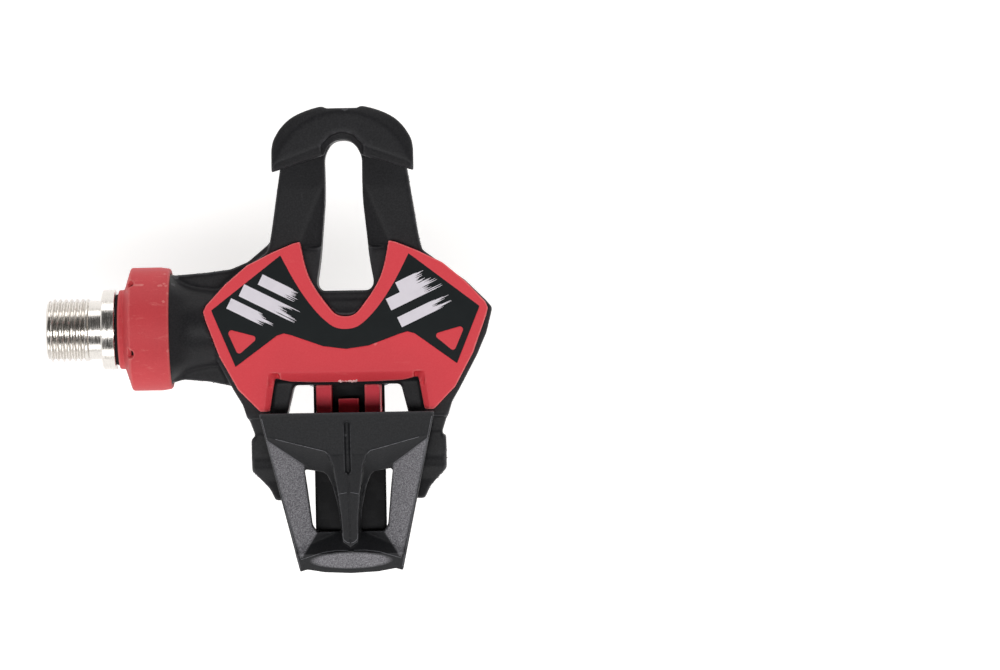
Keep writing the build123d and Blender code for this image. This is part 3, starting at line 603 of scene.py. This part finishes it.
def makeLeaf(plan):
    # one springy plate from the clamp to the jaw, on two CAD solids
    work = bmesh.new()
    length = plan["front"] - plan["rear"]
    top = []
    for row in range(plan["rows"] + 1):
        y = plan["front"] - length * row / plan["rows"]
        cut = max(0.0, plan["rear"] + plan["corner"] - y)
        half = plan["half"] - cut
        for column in range(plan["columns"] + 1):
            x = half * (2 * column / plan["columns"] - 1)
            top.append(work.verts.new((centreX + x * mm, y * mm, plan["top"] * mm)))
    across = plan["columns"] + 1
    for row in range(plan["rows"]):
        for column in range(plan["columns"]):
            a = row * across + column
            work.faces.new((top[a], top[a + across], top[a + across + 1], top[a + 1]))
    bmesh.ops.recalc_face_normals(work, faces=work.faces)
    mesh = bpy.data.meshes.new("carbonLeaf")
    work.to_mesh(mesh)
    work.free()
    piece = linkObject("carbonLeaf", mesh)
    thick = piece.modifiers.new("thickness", "SOLIDIFY")
    thick.thickness = plan["thick"] * mm
    thick.offset = 1.0 if mesh.polygons[0].normal.z < 0 else -1.0
    soft = piece.modifiers.new("edges", "BEVEL")
    soft.width = plan["edgeRound"] * mm
    soft.segments = 2
    soft.limit_method = "ANGLE"
    bakeModifiers(piece)
    piece.data.materials.append(carbonTwill)
    piece.data.shade_smooth()
    piece.data.set_sharp_from_angle(angle=math.radians(plan["sharpFrom"]))
    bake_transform(piece)
    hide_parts("carbon_blade_root", "carbon_blade_leaf")
    print("leaf made")


makeLeaf(leafPlan)


def signedDistance(point, corners):
    # positive inside the closed outline
    x, y = point
    inside, nearest = False, 1e9
    for (ax, ay), (bx, by) in zip(corners, corners[1:] + corners[:1]):
        if (ay > y) != (by > y) and x < ax + (y - ay) * (bx - ax) / (by - ay):
            inside = not inside
        dx, dy = bx - ax, by - ay
        along = min(1.0, max(0.0, ((x - ax) * dx + (y - ay) * dy) / (dx * dx + dy * dy)))
        nearest = min(nearest, math.hypot(x - ax - along * dx, y - ay - along * dy))
    return nearest if inside else -nearest


facetPlan = {
    # outlines in mm from the pedal's centreline, on one side and mirrored
    "side": [(17.9, -25.3), (10.0, -31.2), (9.7, -36.0), (8.7, -45.2), (7.6, -46.6), (11.0, -52.0),
             (11.7, -51.4)],
    "rearCentre": -52.9, "rearHalf": (8.6, 1.75),
    "softness": 0.35, "facing": 0.35,
}


def markFacets(piece, plan):
    mesh = piece.data
    mask = mesh.attributes.new("facetGrain", "FLOAT", "POINT")
    normals = [v.normal.z for v in mesh.vertices]
    for vertex, up in zip(mesh.vertices, normals):
        if up < plan["facing"]:
            continue
        u = (vertex.co.x - centreX) / mm
        v = vertex.co.y / mm
        side = signedDistance((abs(u), v), plan["side"]) / plan["softness"]
        a, b = plan["rearHalf"]
        within = 1 - math.hypot(u / a, (v - plan["rearCentre"]) / b)
        rear = within * b / plan["softness"]
        mask.data[vertex.index].value = min(1.0, max(0.0, 0.5 + max(side, rear)))


markFacets(moulded["jawMoulding"], facetPlan)
print("jaw facets marked")


beadDetail = {"rayLength": 0.1, "wobbleScale": 900.0, "ringSides": 8}


def makeBeadTree(detail):
    # a fine raised bead along each of the given lines, dropped onto a surface from above
    tree, inn, out = nodeTool("surfaceBeads", [
        ("Surface", "Object", None), ("Radius", "Float", 0.0001),
        ("Spacing", "Float", 0.0004), ("Sink", "Float", 0.00003),
        ("Uneven", "Float", 0.3), ("Finish", "Material", None)])
    curve = tree.nodes.new("GeometryNodeMeshToCurve")
    even = tree.nodes.new("GeometryNodeResampleCurve")
    even.mode = "LENGTH"
    lay = tree.nodes.new("GeometryNodeSetPosition")
    info = tree.nodes.new("GeometryNodeObjectInfo")
    fall = tree.nodes.new("GeometryNodeRaycast")
    fall.inputs["Ray Direction"].default_value = (0.0, 0.0, -1.0)
    fall.inputs["Ray Length"].default_value = detail["rayLength"]
    missed = tree.nodes.new("FunctionNodeBooleanMath")
    missed.operation = "NOT"
    drop = tree.nodes.new("GeometryNodeDeleteGeometry")
    lower = tree.nodes.new("ShaderNodeCombineXYZ")
    wobble = tree.nodes.new("ShaderNodeTexNoise")
    wobble.inputs["Scale"].default_value = detail["wobbleScale"]
    ring = tree.nodes.new("GeometryNodeCurvePrimitiveCircle")
    ring.inputs["Resolution"].default_value = detail["ringSides"]
    ring.inputs["Radius"].default_value = 1.0
    skin = tree.nodes.new("GeometryNodeCurveToMesh")
    skin.inputs["Fill Caps"].default_value = True
    real = tree.nodes.new("GeometryNodeRealizeInstances")
    finish = tree.nodes.new("GeometryNodeSetMaterial")
    down = maths(tree, "MULTIPLY", inn.outputs["Sink"], -1.0)
    spread = maths(tree, "MULTIPLY", maths(tree, "SUBTRACT", wobble.outputs[0], 0.5), inn.outputs["Uneven"])
    size = maths(tree, "MULTIPLY", inn.outputs["Radius"], maths(tree, "MULTIPLY_ADD", spread, 2.0, 1.0))
    wire(tree, (inn.outputs["Geometry"], curve.inputs[0]), (curve.outputs[0], even.inputs["Curve"]),
         (inn.outputs["Spacing"], even.inputs["Length"]), (even.outputs[0], drop.inputs["Geometry"]),
         (fall.outputs["Is Hit"], missed.inputs[0]), (missed.outputs[0], drop.inputs["Selection"]),
         (drop.outputs[0], lay.inputs["Geometry"]),
         (inn.outputs["Surface"], info.inputs[0]), (info.outputs["Geometry"], fall.inputs[0]),
         (fall.outputs["Hit Position"], lay.inputs["Position"]), (down, lower.inputs["Z"]),
         (lower.outputs[0], lay.inputs["Offset"]), (lay.outputs[0], skin.inputs["Curve"]),
         (size, skin.inputs["Scale"]), (ring.outputs[0], skin.inputs["Profile Curve"]),
         (skin.outputs[0], real.inputs[0]),
         (real.outputs[0], finish.inputs["Geometry"]), (inn.outputs["Finish"], finish.inputs["Material"]),
         (finish.outputs[0], out.inputs[0]))
    return tree


beadTree = makeBeadTree(beadDetail)


def linesMesh(name, lines):
    # polylines in mm from the pedal's centreline
    points, edges = [], []
    for line in lines:
        first = len(points)
        points += [(centreX + x * mm, y * mm, z * mm) for x, y, z in line]
        edges += [(first + i, first + i + 1) for i in range(len(line) - 1)]
    mesh = bpy.data.meshes.new(name)
    mesh.from_pydata(points, edges, [])
    return mesh


def bothSides(lines):
    return lines + [[(-x, y, z) for x, y, z in line] for line in lines]


jawBeadPlan = {
    "lines": {
        "brow": [(16.0, -25.0), (11.5, -26.2), (5.0, -27.9), (4.4, -28.5)],
        "facetTop": [(18.3, -25.0), (14.0, -28.1), (10.1, -30.9)],
        "spineTip": [(1.75, -46.6), (1.6, -47.9), (0.8, -48.7), (0.2, -48.8)],
        "crease": [(2.25, -37.6), (0.4, -37.3)],
        "rearArc": [(11.3, -52.5), (8.8, -51.7), (6.4, -51.0), (3.4, -50.6), (0.6, -50.6)],
        "rimOuter": [(18.9, -20.4), (15.2, -37.0), (11.5, -54.4)],
        "rimInner": [(17.9, -25.6), (14.4, -40.0), (11.3, -52.2)],
    },
    "dropFrom": 25.0, "radius": 0.085, "spacing": 0.35, "sink": 0.035, "uneven": 0.7,
}
# the beads' light grey is a painted highlight along the jaw's ridges and rims, where rounded edges catch the
# light
beadHighlightLook = dict(jawSmoothLook, dark=(0.10, 0.10, 0.112), light=(0.17, 0.17, 0.185), wearAndSheen=0.3, rough=0.5)
ridgeHighlightBead = mouldedPlastic("ridgeHighlightBead", beadHighlightLook)


def makeJawBeads(plan):
    flat = [[(x, y, plan["dropFrom"]) for x, y in line] for line in plan["lines"].values()]
    mesh = growMesh("jawBeads", beadTree, {
        "Surface": moulded["jawMoulding"], "Radius": plan["radius"] * mm, "Spacing": plan["spacing"] * mm,
        "Sink": plan["sink"] * mm, "Uneven": plan["uneven"], "Finish": ridgeHighlightBead},
        linesMesh("jawBeads", bothSides(flat)))
    piece = linkObject("jawBeads", mesh)
    piece.data.shade_smooth()
    claim(piece, "jaw", "jaw_plastic")
    print("jaw beads", len(mesh.polygons), "faces")


makeJawBeads(jawBeadPlan)


crumbDetail = {"dentScale": 1.3, "dentLevel": 0.6, "turn": 6.28,
               "slightest": (0.7, 0.5, 0.35), "fullest": (1.6, 1.0, 0.8)}


def makeCrumbTree(detail):
    # small torn scraps left by the mould's parting line, scattered along lines on a surface
    tree, inn, out = nodeTool("mouldScraps", [
        ("Surface", "Object", None), ("Spacing", "Float", 0.0004),
        ("Share", "Float", 0.5), ("Smallest", "Float", 0.0001),
        ("Largest", "Float", 0.0003), ("Seed", "Int", 1),
        ("Finish", "Material", None)])
    curve = tree.nodes.new("GeometryNodeMeshToCurve")
    even = tree.nodes.new("GeometryNodeResampleCurve")
    even.mode = "LENGTH"
    lay = tree.nodes.new("GeometryNodeSetPosition")
    info = tree.nodes.new("GeometryNodeObjectInfo")
    near = tree.nodes.new("GeometryNodeProximity")
    scrap = tree.nodes.new("GeometryNodeMeshIcoSphere")
    scrap.inputs["Radius"].default_value = 1.0
    scrap.inputs["Subdivisions"].default_value = 2
    dent = tree.nodes.new("GeometryNodeSetPosition")
    rough = tree.nodes.new("ShaderNodeTexNoise")
    rough.inputs["Scale"].default_value = detail["dentScale"]
    facing = tree.nodes.new("GeometryNodeInputNormal")
    push = tree.nodes.new("ShaderNodeVectorMath")
    push.operation = "SCALE"
    place = tree.nodes.new("GeometryNodeInstanceOnPoints")
    keep = tree.nodes.new("FunctionNodeRandomValue")
    keep.data_type = "BOOLEAN"
    spin = randomBetween(tree, (0.0, 0.0, 0.0), (detail["turn"],) * 3, 3)
    shape = randomBetween(tree, detail["slightest"], detail["fullest"], 4)
    size = tree.nodes.new("ShaderNodeVectorMath")
    size.operation = "SCALE"
    real = tree.nodes.new("GeometryNodeRealizeInstances")
    finish = tree.nodes.new("GeometryNodeSetMaterial")
    amount = randomBetween(tree, inn.outputs["Smallest"], inn.outputs["Largest"], 5)
    for node in (keep, spin.node, shape.node, amount.node):
        shift = maths(tree, "ADD", inn.outputs["Seed"], node.inputs["Seed"].default_value)
        tree.links.new(shift, node.inputs["Seed"])
    wire(tree, (inn.outputs["Geometry"], curve.inputs[0]), (curve.outputs[0], even.inputs["Curve"]),
         (inn.outputs["Spacing"], even.inputs["Length"]), (even.outputs[0], lay.inputs["Geometry"]),
         (inn.outputs["Surface"], info.inputs[0]), (info.outputs["Geometry"], near.inputs[0]),
         (near.outputs["Position"], lay.inputs["Position"]),
         (scrap.outputs[0], dent.inputs["Geometry"]), (facing.outputs[0], push.inputs[0]),
         (maths(tree, "SUBTRACT", rough.outputs[0], detail["dentLevel"]), push.inputs["Scale"]),
         (push.outputs[0], dent.inputs["Offset"]),
         (lay.outputs[0], place.inputs["Points"]), (dent.outputs[0], place.inputs["Instance"]),
         (inn.outputs["Share"], keep.inputs["Probability"]), (keep.outputs[3], place.inputs["Selection"]),
         (spin, place.inputs["Rotation"]), (shape, size.inputs[0]), (amount, size.inputs["Scale"]),
         (size.outputs[0], place.inputs["Scale"]), (place.outputs[0], real.inputs[0]),
         (real.outputs[0], finish.inputs["Geometry"]), (inn.outputs["Finish"], finish.inputs["Material"]),
         (finish.outputs[0], out.inputs[0]))
    return tree


crumbTree = makeCrumbTree(crumbDetail)

bodyFlashLines = bothSides([
    [(14.3, 34.6, 2.4), (15.2, 28.6, 1.6), (16.5, 20.6, 1.2), (19.0, 15.2, 4.0)],
    [(22.0, -24.6, -2.0), (22.0, -32.6, -2.0), (19.8, -34.6, -2.6), (17.0, -38.6, -4.0)],
]) + [
    [(-37.6, 12.0, 0.4), (-32.0, 12.5, 0.4), (-26.0, 13.2, 0.4), (-22.0, 14.8, 0.8)],
    [(-37.0, -11.5, 0.4), (-31.0, -12.0, 0.4), (-25.6, -13.3, 0.4)],
]
scrapPlans = {
    "bodyScraps": {
        "surface": "bodyMoulding", "body": "pedal_body", "slot": "black_composite",
        "finish": blackComposite, "spacing": 0.42, "share": 0.55, "smallest": 0.05, "largest": 0.20,
        "seed": 11, "lines": bodyFlashLines},
    "coverScraps": {
        "surface": "coverMoulding", "body": "pedal_body", "slot": "red_plastic",
        "finish": paleFlash, "spacing": 0.18, "share": 0.8, "smallest": 0.18, "largest": 0.46,
        "seed": 4, "lines": [[(-1.7, -12.45, 8.75), (2.1, -12.45, 8.75)]]},
}


def makeScraps():
    for name, plan in scrapPlans.items():
        mesh = growMesh(name, crumbTree, {
            "Surface": moulded[plan["surface"]], "Spacing": plan["spacing"] * mm, "Share": plan["share"],
            "Smallest": plan["smallest"] * mm, "Largest": plan["largest"] * mm, "Seed": plan["seed"],
            "Finish": plan["finish"]}, linesMesh(name, plan["lines"]))
        piece = linkObject(name, mesh)
        claim(piece, plan["body"], plan["slot"])
        print(name, len(mesh.polygons), "faces")


makeScraps()


# spreads and lengths are shares of the stroke's length, widths of the gap between the bristles
slashDetail = {
    "rows": 7, "tipAt": 1.04, "tipGain": 7.0, "height": (0.6, 1.3), "endPower": 0.8, "startSpread": 0.03,
    "markWidth": 1.12, "dropShare": 0.55, "dropAt": (0.86, 1.04), "dropLength": (0.05, 0.13),
    "dropWidth": 0.95, "seedStep": 17,
}


def makeSlashTree(detail):
    # one dry brush stroke: side-by-side bristle marks, ragged at the far end
    tree, inn, out = nodeTool("brushStroke", [
        ("Length", "Float", 0.01), ("Width", "Float", 0.002),
        ("Bristles", "Int", 12), ("Fray", "Float", 0.35),
        ("Lean", "Float", 0.0), ("Thickness", "Float", 0.00004),
        ("Seed", "Int", 1), ("Finish", "Material", None)])
    gap = maths(tree, "DIVIDE", inn.outputs["Width"], inn.outputs["Bristles"])
    row = tree.nodes.new("GeometryNodeMeshLine")
    offset = tree.nodes.new("ShaderNodeCombineXYZ")
    mark = tree.nodes.new("GeometryNodeMeshCube")
    mark.inputs["Vertices X"].default_value = detail["rows"]
    shift = tree.nodes.new("GeometryNodeTransform")
    shift.inputs["Translation"].default_value = (0.5, 0.0, 0.0)
    spot = tree.nodes.new("GeometryNodeInputPosition")
    parts = tree.nodes.new("ShaderNodeSeparateXYZ")
    point = tree.nodes.new("ShaderNodeCombineXYZ")
    taper = tree.nodes.new("GeometryNodeSetPosition")
    toTip = maths(tree, "SUBTRACT", detail["tipAt"], parts.outputs["X"])
    narrow = maths(tree, "MULTIPLY", toTip, detail["tipGain"], clamp=True)
    raised = maths(tree, "MULTIPLY", inn.outputs["Thickness"], randomBetween(tree, *detail["height"], 1))
    startJitter = randomBetween(tree, 0.0, 1.0, 2)
    endJitter = randomBetween(tree, 0.0, 1.0, 3)
    ragged = maths(tree, "MULTIPLY", maths(tree, "POWER", endJitter, detail["endPower"]), inn.outputs["Fray"])
    long = maths(tree, "MULTIPLY", inn.outputs["Length"], maths(tree, "SUBTRACT", 1.0, ragged))
    late = maths(tree, "MULTIPLY", startJitter, inn.outputs["Length"])
    late = maths(tree, "MULTIPLY", late, detail["startSpread"])
    scale = tree.nodes.new("ShaderNodeCombineXYZ")
    placed = tree.nodes.new("GeometryNodeInstanceOnPoints")
    slide = tree.nodes.new("GeometryNodeTranslateInstances")
    slant = tree.nodes.new("ShaderNodeCombineXYZ")
    index = tree.nodes.new("GeometryNodeInputIndex")
    lean = maths(tree, "MULTIPLY", maths(tree, "MULTIPLY", index.outputs[0], gap), inn.outputs["Lean"])
    dropMark = tree.nodes.new("GeometryNodeInstanceOnPoints")
    dropKeep = tree.nodes.new("FunctionNodeRandomValue")
    dropKeep.data_type = "BOOLEAN"
    dropKeep.inputs["Probability"].default_value = detail["dropShare"]
    dropFar = randomBetween(tree, *detail["dropAt"], 7)
    dropLong = randomBetween(tree, *detail["dropLength"], 8)
    dropScale = tree.nodes.new("ShaderNodeCombineXYZ")
    dropSlide = tree.nodes.new("GeometryNodeTranslateInstances")
    dropMove = tree.nodes.new("ShaderNodeCombineXYZ")
    for number, node in enumerate((startJitter.node, endJitter.node, dropKeep, dropFar.node, dropLong.node)):
        shifted = maths(tree, "ADD", inn.outputs["Seed"], number * detail["seedStep"] + 1)
        tree.links.new(shifted, node.inputs["Seed"])
    both = tree.nodes.new("GeometryNodeJoinGeometry")
    real = tree.nodes.new("GeometryNodeRealizeInstances")
    finish = tree.nodes.new("GeometryNodeSetMaterial")
    wire(tree, (inn.outputs["Bristles"], row.inputs["Count"]), (gap, offset.inputs["Y"]),
         (offset.outputs[0], row.inputs["Offset"]), (mark.outputs[0], shift.inputs["Geometry"]),
         (spot.outputs[0], parts.inputs[0]), (parts.outputs["X"], point.inputs["X"]),
         (maths(tree, "MULTIPLY", parts.outputs["Y"], narrow), point.inputs["Y"]),
         (parts.outputs["Z"], point.inputs["Z"]),
         (shift.outputs[0], taper.inputs["Geometry"]), (point.outputs[0], taper.inputs["Position"]),
         (row.outputs[0], placed.inputs["Points"]), (taper.outputs[0], placed.inputs["Instance"]),
         (long, scale.inputs["X"]), (maths(tree, "MULTIPLY", gap, detail["markWidth"]), scale.inputs["Y"]),
         (raised, scale.inputs["Z"]), (scale.outputs[0], placed.inputs["Scale"]),
         (placed.outputs[0], slide.inputs["Instances"]), (maths(tree, "ADD", late, lean), slant.inputs["X"]),
         (slant.outputs[0], slide.inputs["Translation"]),
         (row.outputs[0], dropMark.inputs["Points"]), (taper.outputs[0], dropMark.inputs["Instance"]),
         (dropKeep.outputs[3], dropMark.inputs["Selection"]),
         (maths(tree, "MULTIPLY", inn.outputs["Length"], dropLong), dropScale.inputs["X"]),
         (maths(tree, "MULTIPLY", gap, detail["dropWidth"]), dropScale.inputs["Y"]),
         (inn.outputs["Thickness"], dropScale.inputs["Z"]),
         (dropScale.outputs[0], dropMark.inputs["Scale"]),
         (dropMark.outputs[0], dropSlide.inputs["Instances"]),
         (maths(tree, "MULTIPLY_ADD", inn.outputs["Length"], dropFar, lean), dropMove.inputs["X"]),
         (dropMove.outputs[0], dropSlide.inputs["Translation"]),
         (slide.outputs[0], both.inputs[0]), (dropSlide.outputs[0], both.inputs[0]),
         (both.outputs[0], real.inputs[0]), (real.outputs[0], finish.inputs["Geometry"]),
         (inn.outputs["Finish"], finish.inputs["Material"]), (finish.outputs[0], out.inputs[0]))
    return tree


slashTree = makeSlashTree(slashDetail)

# brush strokes on the film: the start in mm from the centreline, the heading in degrees, and lean is
# how far each bristle starts after the one beside it, as a share of the gap between them
filmStrokes = [
    {"start": (-19.4, 9.6), "heading": -27.0, "length": 10.2, "width": 2.5,
     "bristles": 13, "lean": -0.5, "seed": 5},
    {"start": (-23.7, 7.1), "heading": -27.0, "length": 14.0, "width": 2.9,
     "bristles": 15, "lean": -0.5, "seed": 9},
    {"start": (-26.5, 4.4), "heading": -27.0, "length": 11.4, "width": 2.5,
     "bristles": 13, "lean": -0.5, "seed": 14},
    {"start": (12.2, 7.3), "heading": 25.0, "length": 6.9, "width": 2.4,
     "bristles": 13, "lean": 0.5, "seed": 21},
    {"start": (10.2, 3.3), "heading": 25.0, "length": 13.0, "width": 2.8,
     "bristles": 15, "lean": 0.5, "seed": 28},
    {"start": (12.5, -0.5), "heading": 25.0, "length": 13.2, "width": 2.4,
     "bristles": 13, "lean": 0.5, "seed": 33},
]
# the print's middle stands the lift's share of its thickness (in mm) above the film
printPlan = {"fray": 0.34, "thickness": 0.04, "lift": 0.3}


def makeFilmPrint(plan):
    meshes = []
    level = filmTop + plan["lift"] * plan["thickness"] * mm
    for number, stroke in enumerate(filmStrokes):
        mesh = growMesh("stroke%d" % number, slashTree, {
            "Length": stroke["length"] * mm, "Width": stroke["width"] * mm, "Bristles": stroke["bristles"],
            "Fray": plan["fray"], "Lean": stroke["lean"], "Thickness": plan["thickness"] * mm,
            "Seed": stroke["seed"], "Finish": filmWhite})
        x, y = stroke["start"]
        spot = Vector((centreX + x * mm, y * mm, level))
        mesh.transform(Matrix.Translation(spot) @ Matrix.Rotation(math.radians(stroke["heading"]), 4, "Z"))
        meshes.append(mesh)
    piece = joinMeshes("filmPrint", meshes)
    claim(piece, "pedal_body", "gloss_film")
    print("film print", len(piece.data.polygons), "faces")


makeFilmPrint(printPlan)

nodeMaterials = {
    "spindle_seal": sealRubber, "bearing_shim": darkSteel,
    "bearing_inner_ring": polishedSteel, "bearing_outer_ring": polishedSteel, "bearing_balls": polishedSteel,
    "ball_cage": bearingBrass, "bearing_shields": darkSteel, "spindle_circlip": darkSteel,
    "needle_shell": polishedSteel, "needle_rollers": polishedSteel, "needle_cage": bearingBrass,
    "platform_decal": filmBlack, "cover_screws": darkSteel, "jaw_bushes": bearingBrass,
    "pivot_pin": polishedSteel,
    "clamp_plate": darkSteel, "clamp_screws": darkSteel, "tension_screw": bearingBrass,
}
for name, material in nodeMaterials.items():
    mesh = nodes[name].data
    mesh.materials.clear()
    mesh.materials.append(material)


stagePlan = {
    "size": 3.0, "drop": 60.0,                 # m across, and mm below the lowest point
    "floorColour": (0.96, 0.955, 0.95), "floorGlow": 0.42, "wallLight": 0.92, "ceilingLight": 0.07,
    "wallTop": 0.42, "ceilingFrom": 0.60,      # sines of the elevation where the walls fade to the ceiling
    "floorRough": 0.9, "roomColour": (1.0, 0.985, 0.965),
}
softboxes = {
    "strip": {"at": (0.05, -0.27, 1.30), "size": (1.5, 0.30), "power": 10.5},
    "frontWash": {"at": (0.1, 1.3, 0.5), "size": (1.6, 0.5), "power": 4.5},
    "rearWash": {"at": (0.0, -1.3, 0.5), "size": (1.6, 0.5), "power": 4.5},
}


def makeStage(plan):
    size = plan["size"]
    level = lowestZ - plan["drop"] * mm
    mesh = bpy.data.meshes.new("floor")
    corners = [(-size, -size), (size, -size), (size, size), (-size, size)]
    mesh.from_pydata([(x, y, level) for x, y in corners], [], [(0, 1, 2, 3)])
    floor = linkObject("floor", mesh)
    material = bpy.data.materials.new("paleFloor")
    material.use_nodes = True
    shader = material.node_tree.nodes["Principled BSDF"]
    shader.inputs["Base Color"].default_value = (*plan["floorColour"], 1.0)
    shader.inputs["Roughness"].default_value = plan["floorRough"]
    shader.inputs["Emission Color"].default_value = (*plan["floorColour"], 1.0)
    shader.inputs["Emission Strength"].default_value = plan["floorGlow"]
    mesh.materials.append(material)


def makeRoom(plan):
    # pale walls all round and a darker ceiling, so that the steel has something to mirror
    world = bpy.data.worlds.new("softRoom")
    world.use_nodes = True
    tree = world.node_tree
    back = tree.nodes["Background"]
    back.inputs["Color"].default_value = (*plan["roomColour"], 1.0)
    coords = tree.nodes.new("ShaderNodeTexCoord")
    split = tree.nodes.new("ShaderNodeSeparateXYZ")
    fall = tree.nodes.new("ShaderNodeMapRange")
    fall.interpolation_type = "SMOOTHSTEP"
    fall.inputs["From Min"].default_value = plan["wallTop"]
    fall.inputs["From Max"].default_value = plan["ceilingFrom"]
    fall.inputs["To Min"].default_value = plan["wallLight"]
    fall.inputs["To Max"].default_value = plan["ceilingLight"]
    tree.links.new(coords.outputs["Generated"], split.inputs[0])
    tree.links.new(split.outputs["Z"], fall.inputs["Value"])
    tree.links.new(fall.outputs["Result"], back.inputs["Strength"])
    bpy.context.scene.world = world


def addSoftbox(name, plan):
    light = bpy.data.lights.new(name, "AREA")
    light.shape = "RECTANGLE"
    light.size, light.size_y = plan["size"]
    light.energy = plan["power"]
    lamp = bpy.data.objects.new(name, light)
    lamp.location = plan["at"]
    aim = Vector((centreX, 0.0, 0.0)) - Vector(plan["at"])
    lamp.rotation_euler = aim.to_track_quat("-Z", "Y").to_euler()
    bpy.context.scene.collection.objects.link(lamp)


cameraPlan = {
    "overX": 89.2, "overY": -2.7,        # mm, the point under the lens
    "height": 1100.0,                    # mm above the spindle's axis
    "pixelsPerMm": 4.444, "frameWidth": 1000, "sensor": 36.0,
    "roll": -1.0, "clipStart": 0.01,
}


def makeCamera(plan):
    data = bpy.data.cameras.new("overhead")
    data.sensor_width = plan["sensor"]
    data.lens = plan["pixelsPerMm"] * plan["height"] * plan["sensor"] / plan["frameWidth"]
    data.clip_start = plan["clipStart"]
    camera = bpy.data.objects.new("overhead", data)
    camera.location = (plan["overX"] * mm, plan["overY"] * mm, plan["height"] * mm)
    camera.rotation_euler = (0, 0, math.radians(plan["roll"]))
    bpy.context.scene.collection.objects.link(camera)
    bpy.context.scene.camera = camera


makeStage(stagePlan)
makeRoom(stagePlan)
for name, plan in softboxes.items():
    addSoftbox(name, plan)
makeCamera(cameraPlan)
bpy.context.scene.view_settings.view_transform = "Standard"
print("stage ready")
